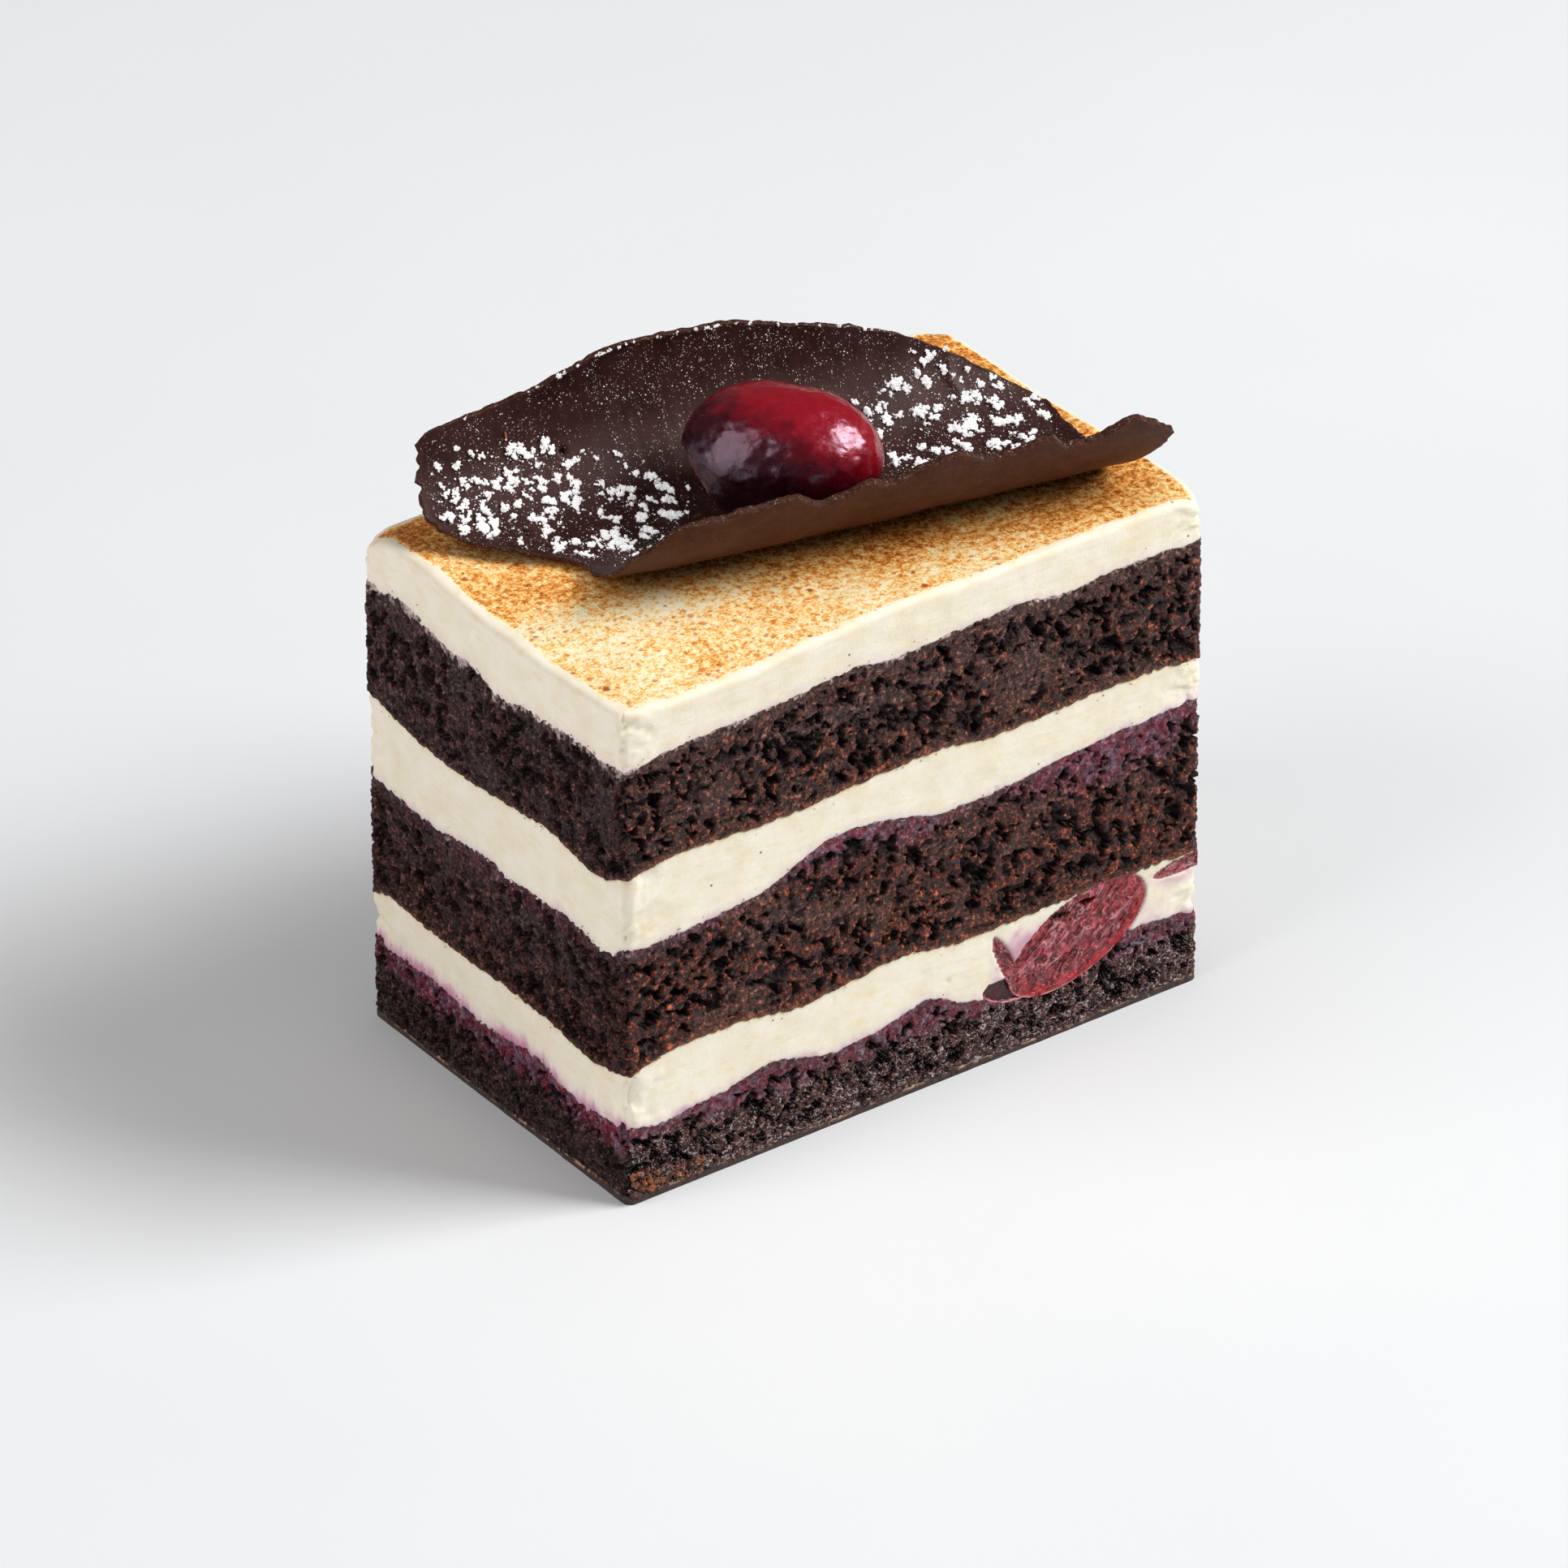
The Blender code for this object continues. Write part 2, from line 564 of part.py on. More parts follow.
def settle(bm):
    """The cherry's place in the sheet's frame, moved along its radius until it just clears the bend."""
    turn = Matrix.Rotation(math.radians(CHERRY_HEADING), 4, "Z")
    middle = Vector(CHERRY_PLACE)
    inner = SHEET_RADIUS - SHEET_THICKNESS - SHEET_RIPPLE - GAP
    points = [turn @ vert.co + middle for vert in bm.verts]
    reach = max(math.hypot(point.y, SHEET_RADIUS - point.z) for point in points)
    towards_axis = Vector((0.0, -middle.y, SHEET_RADIUS - middle.z)).normalized()
    return Matrix.Translation(middle + towards_axis * (reach - inner)) @ turn


def make_cherry(parts):
    """Adds the cherry and returns its place in the sheet's frame."""
    bm = cherry_shape()
    place = settle(bm)
    bmesh.ops.transform(bm, matrix=sheet_frame() @ place, verts=bm.verts)
    add_object("cherry_top", bm, parts, "cherry")
    return place


def main():
    clear_scene()
    parts = new_collection("black_forest_cake")
    cutters = new_collection("cutters", hidden=True)
    layers = {layer[0]: make_layer(parts, *layer) for layer in LAYERS}
    make_cut_fruit(parts, cutters, layers)
    make_curl(parts, make_cherry(parts))


main()
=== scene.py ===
"""The looks of a slice of black forest cake, built round its solids.

+Z is up, the long cut face is at -Y and the short one at -X. Sizes are in millimetres, which build_mesh() and
place_camera() bring to metres. The floor, the lights and the camera's clipping are in metres. Each layer of
the cake is a fine lattice wrapped round the block, whose crumb and pores are true relief.
"""

import math
import random
from types import SimpleNamespace

import bmesh
import bpy
import numpy as np
from mathutils import Matrix, Vector, noise


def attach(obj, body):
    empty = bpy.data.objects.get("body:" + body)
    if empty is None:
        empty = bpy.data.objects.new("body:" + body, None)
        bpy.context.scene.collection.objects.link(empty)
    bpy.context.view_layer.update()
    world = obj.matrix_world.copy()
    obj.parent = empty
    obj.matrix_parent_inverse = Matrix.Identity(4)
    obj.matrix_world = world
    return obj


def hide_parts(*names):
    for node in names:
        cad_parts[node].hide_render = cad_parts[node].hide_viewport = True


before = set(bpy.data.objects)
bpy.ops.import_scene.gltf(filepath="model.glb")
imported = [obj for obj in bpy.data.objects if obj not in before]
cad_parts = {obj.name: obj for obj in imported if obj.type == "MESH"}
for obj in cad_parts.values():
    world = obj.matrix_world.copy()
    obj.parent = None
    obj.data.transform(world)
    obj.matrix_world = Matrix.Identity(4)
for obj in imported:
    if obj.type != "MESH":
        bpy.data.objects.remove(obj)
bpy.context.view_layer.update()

MM = 0.001

# The block and its seams, as the solids have them.
LENGTH = 91.2
WIDTH = 57.2
CORNER_RADIUS = 1.3
CORNER_STEPS = 8
SEAMS = {
    "coat": {
        "front": [(-45, 1.2), (-20, 0.9), (5, 1.1), (20, 0.8), (45, 1.2)],
        "left": [(-28, 1.2), (0, 0.9), (28, 1.1)],
        "wave": 0.15,
    },
    "lower_cream_floor": {
        "front": [(-45, 11.3), (-39, 10.7), (-30, 11.8), (-22, 12.9), (-14, 10.9), (-5, 11.6), (2, 13.2),
                  (8, 10.2), (20, 10.0), (35, 11.5), (45, 10.5)],
        "left": [(-28, 11.3), (-17, 10.5), (-9, 12.2), (3, 11.3), (15, 12.2), (28, 12.2)],
        "wave": 0.8,
    },
    "lower_cream_roof": {
        "front": [(-45, 19.3), (-39, 20.9), (-26, 21.0), (-20, 19.8), (-11, 20.4), (-3, 21.3), (6, 20.1),
                  (30, 20.2), (45, 19.8)],
        "left": [(-28, 19.3), (-21, 18.3), (-10, 19.4), (15, 19.4), (24, 20.0), (28, 18.9)],
        "wave": 0.6,
    },
    "upper_cream_floor": {
        "front": [(-45, 37.2), (-33, 37.9), (-24, 38.9), (-18, 41.4), (-12, 43.0), (-5, 42.4), (3, 40.3),
                  (14, 40.4), (25, 41.7), (45, 42.6)],
        "left": [(-28, 37.2), (-23, 36.0), (-17, 36.9), (-5, 36.3), (4, 36.9), (14, 35.7), (28, 37.2)],
        "wave": 0.9,
    },
    "upper_cream_roof": {
        "front": [(-45, 48.2), (-38, 49.3), (-20, 48.8), (-9, 49.4), (5, 49.8), (11, 48.8), (34, 49.4),
                  (45, 48.6)],
        "left": [(-28, 48.2), (-23, 46.5), (-12, 47.9), (0, 46.9), (13, 46.6), (22, 47.9), (28, 49.2)],
        "wave": 0.7,
    },
    "top_cream_floor": {
        "front": [(-45, 63.5), (-38, 64.7), (-22, 65.3), (-10, 66.3), (-4, 65.5), (6, 66.2), (15, 66.7),
                  (22, 65.7), (33, 66.3), (45, 66.2)],
        "left": [(-28, 63.5), (-15, 63.9), (-7, 63.1), (-3, 62.2), (3, 64.0), (10, 63.8), (18, 66.0),
                 (28, 65.0)],
        "wave": 0.8,
    },
    "crown": {
        "front": [(-45, 71.9), (-28, 71.6), (-15, 72.3), (-3, 73.0), (10, 72.7), (28, 72.8), (45, 72.8)],
        "left": [(-28, 71.9), (-14, 71.2), (-3, 71.5), (6, 72.1), (15, 73.2), (22, 72.8), (28, 71.7)],
        "wave": 0.4,
    },
}
CROWN_LEVEL = 72.2
BACK_WAVE = (9.0, 11.0)
RIGHT_WAVE = (7.0, 17.0)
CROWN_BUMP = 0.18
CROWN_GRAIN = 6.0
CROWN_EASE = 14.0
CORNER_DROP = 1.9
CORNER_SLUMP = 2.6
SHEET_CLEARANCE = 0.3
INNER_HALF = np.array([LENGTH, WIDTH]) / 2 - CORNER_RADIUS

# Lattices: how far apart their points are.
TUCK = 0.9  # how far a layer runs on behind its neighbour's edge
CREAM_PITCH = 0.32
TOP_PITCH = 0.34
BASE_PITCH = 0.3
BASE_ROWS = 7

# Rows that turn in behind a layer's edges, from below upward: the change of height, then the share of the
# edge's own depth and what is added to it.
SPONGE_FOOT = [(-0.05, 0.0, 2.5), (-0.05, 1.0, 0.5)]
SPONGE_FOOT_ON_COAT = [(-0.2, 0.0, 1.5)]
SPONGE_HEAD = [(0.06, 1.0, 0.5), (0.06, 0.0, 2.5)]
CREAM_FOOT = [(-0.06, 1.0, 2.0), (-0.06, 1.0, 0.3)]
BASE_HEAD = [(0.02, 1.0, 1.6)]

# The crumb: its pores, the steps by which one looks into them, and its grains.
PORE_SIZE = 1.3
PORE_STRIDE = 0.24
PORE_STEPS = 8
PORE_ROUGHNESS = 0.68
GRAIN_SIZE = 0.78
GRAIN_HEIGHT = 0.42
CRUMB_DEPTH = 0.34
OPENNESS = -0.01

# The cut fruit, as ellipsoids on the front face: middle, half-axes, tilt.
CUT_CHERRY = ((25.8, 13.7), (11.6, 8.6, 6.1), 20.0)
FLAP = ((14.4, 13.6), (5.4, 4.0, 1.15), 114.0)
SCRAP = ((14.6, 9.6), (4.4, 3.2, 1.9), -16.0)
SLIVER = ((44.5, 18.4), (6.6, 5.0, 1.2), 3.0)
FRUIT_BACK = 0.4
VEIN_SLANT = 20.0
SCRAP_BACK = 0.9

# The bent sheet, as the solid has it, and then the steps of its lattice along and across.
SHEET_RADIUS = 19.0
SHEET_THICKNESS = 1.1
SHEET_MIDDLE = (-1.5, -1.5)
SHEET_HEADING = -11.7
SHEET_REST = 72.5
SHEET_RIPPLE = 0.25
RIPPLE_GRAIN = (9.0, 25.0)
RIPPLE_FROM = 30.0
LIP_RIM = [(-24.3, -63), (-20.8, -71), (-10.8, -72), (-5.6, -74), (-2.6, -67), (0.6, -68), (4.4, -73),
           (7.3, -70.5), (15.8, -77), (19.6, -72), (23.3, -70), (29.1, -75), (31.9, -68), (35.5, -68),
           (41.1, -75), (47.0, -61)]
BACK_RIM = [(-42.6, 68), (-40.5, 73), (-29.4, 78), (-21.8, 85), (-14.0, 91), (-4.0, 91), (1.5, 90),
            (9.0, 84), (17.7, 77), (26.9, 65), (34.3, 49), (41.3, 29)]
LEFT_END = [(-63, -24.3), (-52, -27.4), (-38, -28.2), (-14, -27.7), (1, -29.2), (16, -36.1), (31, -42.4),
            (40, -43.6), (68, -42.6)]
RIGHT_END = [(-61, 47.0), (-40, 44.6), (4, 43.1), (29, 41.3)]
SHEET_STEPS = (300, 130)

# The icing sugar, with the solid's own values, so that its clumps keep their places.
CLUMP_COUNT = 54
CLUMP_RADIUS = (0.75, 1.45)
CLUMP_WIDTH = (0.6, 0.9)
CLUMP_SINK = 0.15
CLUMP_MARGIN = 0.08
CLUMP_SEED = 11
DRIFTS = [(-28.0, 26.0, 18.0, 30.0), (28.0, 30.0, 14.0, 28.0)]

# The cherry in the sheet, as the solid has it.
CHERRY_PLACE = (-0.3, -2.9, 10.9)
CHERRY_HEADING = -41.0
CHERRY_TIP_LENGTH = 13.4
CHERRY_BUTT_LENGTH = 12.3
CHERRY_HALF_WIDTH = 9.2
CHERRY_HALF_HEIGHT = 8.6
CHERRY_CUT_NORMAL = (-0.79, -0.42, -0.44)
CHERRY_CUT_DISTANCE = 11.1
CHERRY_HOLLOW = 3.2

# The camera: where it looks, how far away it is, and its turn in degrees.
AIM = (-3.78, -4.95, 35.87)
CAMERA_DISTANCE = 1451.0
CAMERA_AZIMUTH = -35.93
CAMERA_ELEVATION = 31.28
CAMERA_ROLL = -0.35
CAMERA_LENS = 260.87
CAMERA_SENSOR = 36.0
CAMERA_CLIP = (0.05, 30.0)


# ---------------------------------------------------------------- noise


# The hash: a factor for each axis and for the seed, then rounds of shift and factor.
HASH_AXES = (374761393, 668265263, 2147483629)
HASH_SEED = 3266489917
HASH_ROUNDS = ((15, 2246822519), (13, 3266489917), (16, 668265263))
HASH_MASK = 0xFFFFFFFF


def hashed(cell, seed):
    """A random number from 0 to 1 for each whole-number cell."""
    whole = cell.astype(np.int64)
    mixed = seed * HASH_SEED
    for axis, factor in enumerate(HASH_AXES):
        mixed = mixed + whole[..., axis] * factor
    mixed = (mixed & HASH_MASK).astype(np.uint64)
    for shift, factor in HASH_ROUNDS:
        mixed ^= mixed >> np.uint64(shift)
        mixed = (mixed * np.uint64(factor)) & np.uint64(HASH_MASK)
    mixed ^= mixed >> np.uint64(15)
    return mixed.astype(np.float64) / HASH_MASK


def value_noise(points, seed=0):
    """Smooth noise from -1 to 1 at points of any shape (..., 3)."""
    base = np.floor(points)
    part = points - base
    part = part * part * part * (part * (part * 6.0 - 15.0) + 10.0)
    total = 0.0
    for corner in np.ndindex(2, 2, 2):
        offset = np.array(corner)
        weight = np.prod(np.where(offset, part, 1.0 - part), axis=-1)
        total = total + weight * hashed(base + offset, seed)
    return total * 2.0 - 1.0


def fractal(points, octaves=3, seed=0, falloff=0.5):
    """Noise from -1 to 1 with finer and finer detail."""
    total, size, reach = 0.0, 1.0, 0.0
    for octave in range(octaves):
        total = total + size * value_noise(points * 2.0**octave + 17.3 * octave, seed + octave)
        reach += size
        size *= falloff
    return total / reach


def warped(points, grain, amount, seed):
    """Points moved about by noise, so that regular shapes turn ragged."""
    moves = [value_noise(points / grain + 31.7 * axis, seed + axis) for axis in range(3)]
    return points + amount * np.stack(moves, axis=-1)


def neighbours(points, size):
    """The cells of a grid round each point, one after another."""
    base = np.floor(points / size)
    for offset in np.ndindex(3, 3, 3):
        yield base + np.array(offset) - 1.0


def cell_centre(cell, size, seed):
    """A random place well inside each cell."""
    jitter = np.stack([hashed(cell, seed + axis) for axis in range(3)], axis=-1)
    return (cell + 0.1 + 0.8 * jitter) * size


def voids(points, inward, size, share, radius, seed):
    """How deep the round voids of a sponge reach below each point of a cut face."""
    depth = np.zeros(points.shape[:-1])
    for cell in neighbours(points, size):
        to = cell_centre(cell, size, seed) - points
        along = np.sum(to * inward, axis=-1)
        span = radius[0] + (radius[1] - radius[0]) * hashed(cell, seed + 5)
        half = span**2 - (np.sum(to * to, axis=-1) - along**2)
        reach = np.sqrt(np.maximum(half, 0.0))
        is_open = (half > 0) & (along < reach) & (hashed(cell, seed + 6) < share)
        depth = np.where(is_open, np.maximum(depth, along + reach), depth)
    return depth


def first_wall(points, inward, wall, seed):
    """How far one sees into the crumb from each point of a cut face before a wall of it is met."""
    at, way, wall = points.reshape(-1, 3), inward.reshape(-1, 3), wall.ravel()
    depth = np.zeros(len(at))
    gap = wall - fractal(at / PORE_SIZE, 3, seed, PORE_ROUGHNESS)
    still = np.flatnonzero(gap > 0)
    last = gap[still]
    for step in range(PORE_STEPS):
        seen = at[still] + way[still] * PORE_STRIDE * (step + 1)
        now = wall[still] - fractal(seen / PORE_SIZE, 3, seed, PORE_ROUGHNESS)
        share = np.clip(last / np.maximum(last - now, 1e-6), 0.0, 1.0)
        depth[still] = PORE_STRIDE * (step + np.where(now > 0, 1.0, share))
        still, last = still[now > 0], now[now > 0]
    return depth.reshape(points.shape[:-1])


def grains(points, size, seed):
    """1 in the middle of each crumb and 0 between crumbs, with a random number for each crumb."""
    best = np.full(points.shape[:-1], 9.0)
    which = np.zeros(points.shape[:-1])
    for cell in neighbours(points, size):
        away = np.linalg.norm(cell_centre(cell, size, seed) - points, axis=-1) / size
        nearer = away < best
        best = np.where(nearer, away, best)
        which = np.where(nearer, hashed(cell, seed + 7), which)
    return np.clip(1.0 - best**2 * 1.6, 0.0, 1.0), which


def spots(points, size, share, radius, seed):
    """1 in the middle of scattered round spots, falling to 0 somewhat outside each."""
    field = np.zeros(points.shape[:-1])
    for cell in neighbours(points, size):
        away = np.linalg.norm(cell_centre(cell, size, seed) - points, axis=-1)
        span = radius[0] + (radius[1] - radius[0]) * hashed(cell, seed + 5) ** 2
        near = np.clip(1.5 - away / span, 0.0, 1.5) / 1.5
        field = np.maximum(field, near * (hashed(cell, seed + 6) < share))
    return field


def smooth_step(value, low=0.0, high=1.0):
    """0 below low and 1 above high, with a smooth rise between them."""
    t = np.clip((value - low) / (high - low), 0.0, 1.0)
    return t * t * (3.0 - 2.0 * t)


def curve(points, at):
    """Height at each place on the smooth curve through (place, height) points."""
    knots = np.array(points, float)
    at = np.asarray(at, float)
    last = len(knots) - 1
    i = np.clip(np.searchsorted(knots[:, 0], at, side="left") - 1, 0, last - 1)
    x0, y0 = knots[i, 0], knots[i, 1]
    x1, y1 = knots[i + 1, 0], knots[i + 1, 1]
    before, after = knots[np.maximum(i - 1, 0)], knots[np.minimum(i + 2, last)]
    slope0 = (y1 - before[..., 1]) / (x1 - before[..., 0])
    slope1 = (after[..., 1] - y0) / (after[..., 0] - x0)
    run = x1 - x0
    t = np.clip((at - x0) / run, 0.0, 1.0)
    square, cube = t * t, t * t * t
    start = (2 * cube - 3 * square + 1) * y0 + (cube - 2 * square + t) * run * slope0
    return start + (3 * square - 2 * cube) * y1 + (cube - square) * run * slope1


# ---------------------------------------------------------------- meshes


def build_mesh(name, points, faces, look, values=None, flat=False):
    """An object from points in millimetres and arrays of quads and triangles, with values on its points."""
    faces = [np.asarray(part, np.int32) for part in faces if len(part)]
    corners = np.concatenate([part.ravel() for part in faces])
    sizes = np.concatenate([np.full(len(part), part.shape[1]) for part in faces])
    mesh = bpy.data.meshes.new(name)
    mesh.vertices.add(len(points))
    mesh.vertices.foreach_set("co", (np.asarray(points) * MM).astype(np.float32).ravel())
    mesh.loops.add(len(corners))
    mesh.loops.foreach_set("vertex_index", corners.astype(np.int32))
    mesh.polygons.add(len(sizes))
    mesh.polygons.foreach_set("loop_start", (np.cumsum(sizes) - sizes).astype(np.int32))
    mesh.update(calc_edges=True)
    for key, value in (values or {}).items():
        layer = mesh.attributes.new(key, "FLOAT", "POINT")
        layer.data.foreach_set("value", np.asarray(value, np.float32).ravel())
    mesh.polygons.foreach_set("use_smooth", ~np.broadcast_to(flat, len(sizes)))
    mesh.validate()
    mesh.materials.append(look)
    obj = bpy.data.objects.new(name, mesh)
    bpy.context.scene.collection.objects.link(obj)
    return obj


def ring_faces(rows, count, start=0):
    """Quads between rings of count points that close on themselves, the first ring at index start."""
    row, column = np.meshgrid(np.arange(rows - 1), np.arange(count), indexing="ij")
    here = start + row * count + column
    right = start + row * count + (column + 1) % count
    return np.stack([here, right, right + count, here + count], axis=-1).reshape(-1, 4)


def grid_faces(rows, columns, start=0, flip=False):
    """Quads of an open grid of points, the first point at index start."""
    row, column = np.meshgrid(np.arange(rows - 1), np.arange(columns - 1), indexing="ij")
    here = start + row * columns + column
    quads = np.stack([here, here + 1, here + 1 + columns, here + columns], axis=-1).reshape(-1, 4)
    return quads[:, ::-1] if flip else quads


def fan_faces(ring, centre, upward):
    """Triangles from a ring of points to its centre."""
    after = np.roll(ring, -1)
    middle = np.full(len(ring), centre)
    return np.stack([ring, after, middle] if upward else [after, ring, middle], axis=-1)


def keep(piece, slot, *nodes):
    """The piece rides on the cake and stands for these solids, which it hides. The slot is not used."""
    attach(piece, "root")
    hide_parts(*nodes)
    return piece


# ---------------------------------------------------------------- materials


def srgb(red, green, blue):
    """A colour as seen on a screen, 0 to 255, in linear values."""
    linear = []
    for part in (red, green, blue):
        part /= 255.0
        linear.append(part / 12.92 if part <= 0.04045 else ((part + 0.055) / 1.055) ** 2.4)
    return (*linear, 1.0)


class Field:
    """What a node puts out. Fields can be added, subtracted and multiplied."""

    def __init__(self, look, socket):
        self.look = look
        self.socket = socket

    def __add__(self, other):
        return self.look.math("ADD", self, other)

    def __sub__(self, other):
        return self.look.math("SUBTRACT", self, other)

    def __mul__(self, other):
        return self.look.math("MULTIPLY", self, other)


class Look:
    """A procedural material, with its texture in millimetres and its colours as seen on a screen."""

    def __init__(self, name, **fixed):
        self.material = bpy.data.materials.new(name)
        self.material.use_nodes = True
        self.nodes = self.material.node_tree.nodes
        self.links = self.material.node_tree.links
        self.surface = self.nodes["Principled BSDF"]
        for socket, value in fixed.items():
            self.surface.inputs[socket.replace("_", " ")].default_value = value
        place = self.node("ShaderNodeTexCoord", "Object")
        self.space = self.node("ShaderNodeVectorMath", 0, {0: place, "Scale": 1 / MM}, operation="SCALE")

    def node(self, kind, output=0, inputs=None, **settings):
        """A new node's output."""
        node = self.nodes.new(kind)
        for key, value in settings.items():
            setattr(node, key, value)
        for key, value in (inputs or {}).items():
            if isinstance(value, Field):
                self.links.new(value.socket, node.inputs[key])
            else:
                node.inputs[key].default_value = value
        return Field(self, node.outputs[output])

    def stretched(self, x, y, z):
        """The material's space, with its axes scaled."""
        return self.node("ShaderNodeVectorMath", 0, {0: self.space, 1: (x, y, z)}, operation="MULTIPLY")

    def noise(self, scale, detail=3.0, roughness=0.5, distortion=0.0, space=None, output=0):
        inputs = {"Vector": space or self.space, "Scale": scale, "Detail": detail}
        inputs |= {"Roughness": roughness, "Distortion": distortion}
        return self.node("ShaderNodeTexNoise", output, inputs)

    def cells(self, scale, output="Distance", space=None):
        return self.node("ShaderNodeTexVoronoi", output, {"Vector": space or self.space, "Scale": scale})

    def warp(self, scale, amount):
        """The material's space, moved about by noise."""
        drift = self.noise(scale, 2.0, output="Color")
        inputs = {0: drift, 1: (amount, amount, amount), 2: self.space}
        return self.node("ShaderNodeVectorMath", 0, inputs, operation="MULTIPLY_ADD")

    def dots(self, scale, radius, space=None):
        """Round dots of uneven size, at most one to a cell, with a greatest radius in millimetres."""
        away = self.cells(scale, space=space)
        chance = self.cells(scale, "Color", space)
        span = radius * scale
        return self.ramp(away + span - chance * span, (0.7 * span, 1.0), (span, 0.0))

    def attribute(self, name):
        return self.node("ShaderNodeAttribute", "Fac", attribute_name=name)

    def ramp(self, value, *stops):
        """Straight steps between stops, each a place and then a grey or a screen colour."""
        field = self.node("ShaderNodeValToRGB", 0, {0: value})
        elements = field.socket.node.color_ramp.elements
        while len(elements) < len(stops):
            elements.new(0.5)
        for element, (place, *tone) in zip(elements, stops):
            element.position = place
            element.color = srgb(*tone) if len(tone) == 3 else (*tone, *tone, *tone, 1.0)
        return field

    def mix(self, factor, first, second, blend="MIX"):
        """A colour that goes from the first to the second, which may be three numbers."""
        if isinstance(second, tuple):
            second = srgb(*second)
        inputs = {0: factor, 6: first, 7: second}
        return self.node("ShaderNodeMix", 2, inputs, data_type="RGBA", blend_type=blend)

    def towards(self, factor, value, level):
        """A plain value, brought to a fixed level where the factor is 1."""
        inputs = {0: factor, 6: value, 7: (level, level, level, 1.0)}
        return self.node("ShaderNodeMix", 2, inputs, data_type="RGBA")

    def math(self, operation, first, second):
        return self.node("ShaderNodeMath", 0, {0: first, 1: second}, operation=operation)

    def bump(self, height, distance, strength=1.0, below=None):
        """Relief of a given depth in millimetres."""
        inputs = {"Height": height, "Distance": distance * MM, "Strength": strength}
        if below is not None:
            inputs["Normal"] = below
        return self.node("ShaderNodeBump", 0, inputs)

    def set(self, socket, value):
        """Links a field to the shader."""
        self.links.new(value.socket, self.surface.inputs[socket])


def sponge_look():
    """Crumb: moist lumps, rusty or grey in patches, soaked or smeared by cream, with painted shade, glints
    and reflections.
    """
    look = Look("chocolate_sponge", Specular_Tint=(1.0, 0.84, 0.80, 1.0))
    # The shade attribute is painted shade: the short face darker, more at its foot.
    wet_and_glints, painted_side_shade = look.attribute("wet_and_glints"), look.attribute("shade")
    lump = look.noise(1.2, 5.0, 0.66, 0.6)
    fine = look.noise(3.4, 4.0, 0.64, 0.4)
    bead = look.ramp(look.cells(1.6, space=look.warp(1.2, 1.0)), (0.12, 1.0), (0.78, 0.0))
    # The beads' edges darken the tone a little: painted shade between them.
    shade = lump * 0.62 + fine * 0.38 + (bead - 0.5) * 0.10

    plain = look.ramp(shade, (0.41, 11, 3, 2), (0.48, 48, 18, 12),
                      (0.545, 98, 45, 31), (0.63, 184, 122, 98))
    rusty = look.ramp(shade, (0.41, 12, 3, 2), (0.48, 56, 16, 8),
                      (0.545, 114, 41, 20), (0.63, 226, 116, 62))
    dense = look.ramp(shade, (0.39, 22, 11, 10), (0.47, 60, 35, 31),
                      (0.55, 102, 70, 63), (0.65, 168, 136, 128))
    # Painted reflection: bluish-grey lights on the crumb of the short face.
    painted_cool_reflection = look.ramp(shade, (0.43, 10, 4, 5), (0.50, 38, 26, 29),
                     (0.57, 86, 74, 81), (0.65, 172, 164, 174))
    moist = look.ramp(shade, (0.39, 20, 6, 7), (0.47, 58, 28, 27),
                      (0.55, 100, 62, 58), (0.65, 164, 122, 116))
    wine = look.ramp(shade, (0.36, 46, 7, 18), (0.46, 100, 26, 44),
                     (0.56, 144, 56, 78), (0.67, 194, 118, 140))
    lilac = look.ramp(shade, (0.36, 54, 30, 44), (0.46, 96, 62, 80),
                      (0.56, 130, 94, 114), (0.67, 180, 148, 166))

    patch = look.attribute("rust") + look.attribute("tint") * 0.2 + look.noise(0.3, 3.0, 0.6)
    colour = look.mix(look.ramp(patch, (0.72, 0.0), (1.0, 0.95)), plain, rusty)
    colour = look.mix(look.attribute("skin"), colour, dense)
    colour = look.mix(look.ramp(painted_side_shade, (0.0, 0.0), (0.35, 0.42), (0.6, 0.12)), colour, painted_cool_reflection)
    fringe = look.attribute("fringe") * look.ramp(fine, (0.42, 0.1), (0.58, 1.0))
    colour = look.mix(fringe, colour, (148, 78, 36))
    colour = look.mix(wet_and_glints * 0.7, colour, moist)
    # Painted shade: the short face and its foot are darkened.
    colour = look.mix(painted_side_shade, colour, (76, 48, 50), "MULTIPLY")
    juice = look.mix(look.ramp(look.noise(0.6, 3.0, 0.6), (0.46, 0.0), (0.56, 1.0)), wine, lilac)
    colour = look.mix(look.attribute("stain"), colour, juice)
    smear = look.attribute("smear") + (shade - 0.5) * 2.4
    colour = look.mix(look.ramp(smear, (0.52, 0.0), (1.0, 0.85)), colour, (232, 210, 206))
    # Painted shade: pores and the gaps between lumps are darkened to near black.
    colour = look.mix(look.ramp(look.attribute("pore_shade"), (0.10, 0.0), (0.50, 0.97)), colour, (8, 2, 2))
    # Painted glints: whitish specks, dense where the crumb is wet and sparse elsewhere.
    painted_glints = look.noise(2.3, 3.0, 0.6, 1.2, look.stretched(0.7, 0.7, 1.0))
    painted_glints = look.ramp(painted_glints, (0.56, 0.0), (0.60, 1.0)) * (wet_and_glints * 0.92 + 0.07)
    look.set("Base Color", look.mix(painted_glints, colour, (204, 192, 192)))

    look.set("Specular IOR Level", look.ramp(painted_side_shade, (0.0, 0.38), (0.5, 0.14)))
    look.set("Roughness", look.towards(wet_and_glints, look.ramp(fine, (0.38, 0.44), (0.62, 0.20)), 0.09))
    relief = look.bump(fine, 0.15)
    relief = look.bump(bead, 0.16, 0.8, relief)
    relief = look.bump(lump, 0.45, 0.9, relief)
    look.set("Normal", look.bump(look.noise(1.9, 3.0, 0.55, 0.5), 0.9, wet_and_glints * 0.8 + 0.2, relief))
    return look.material


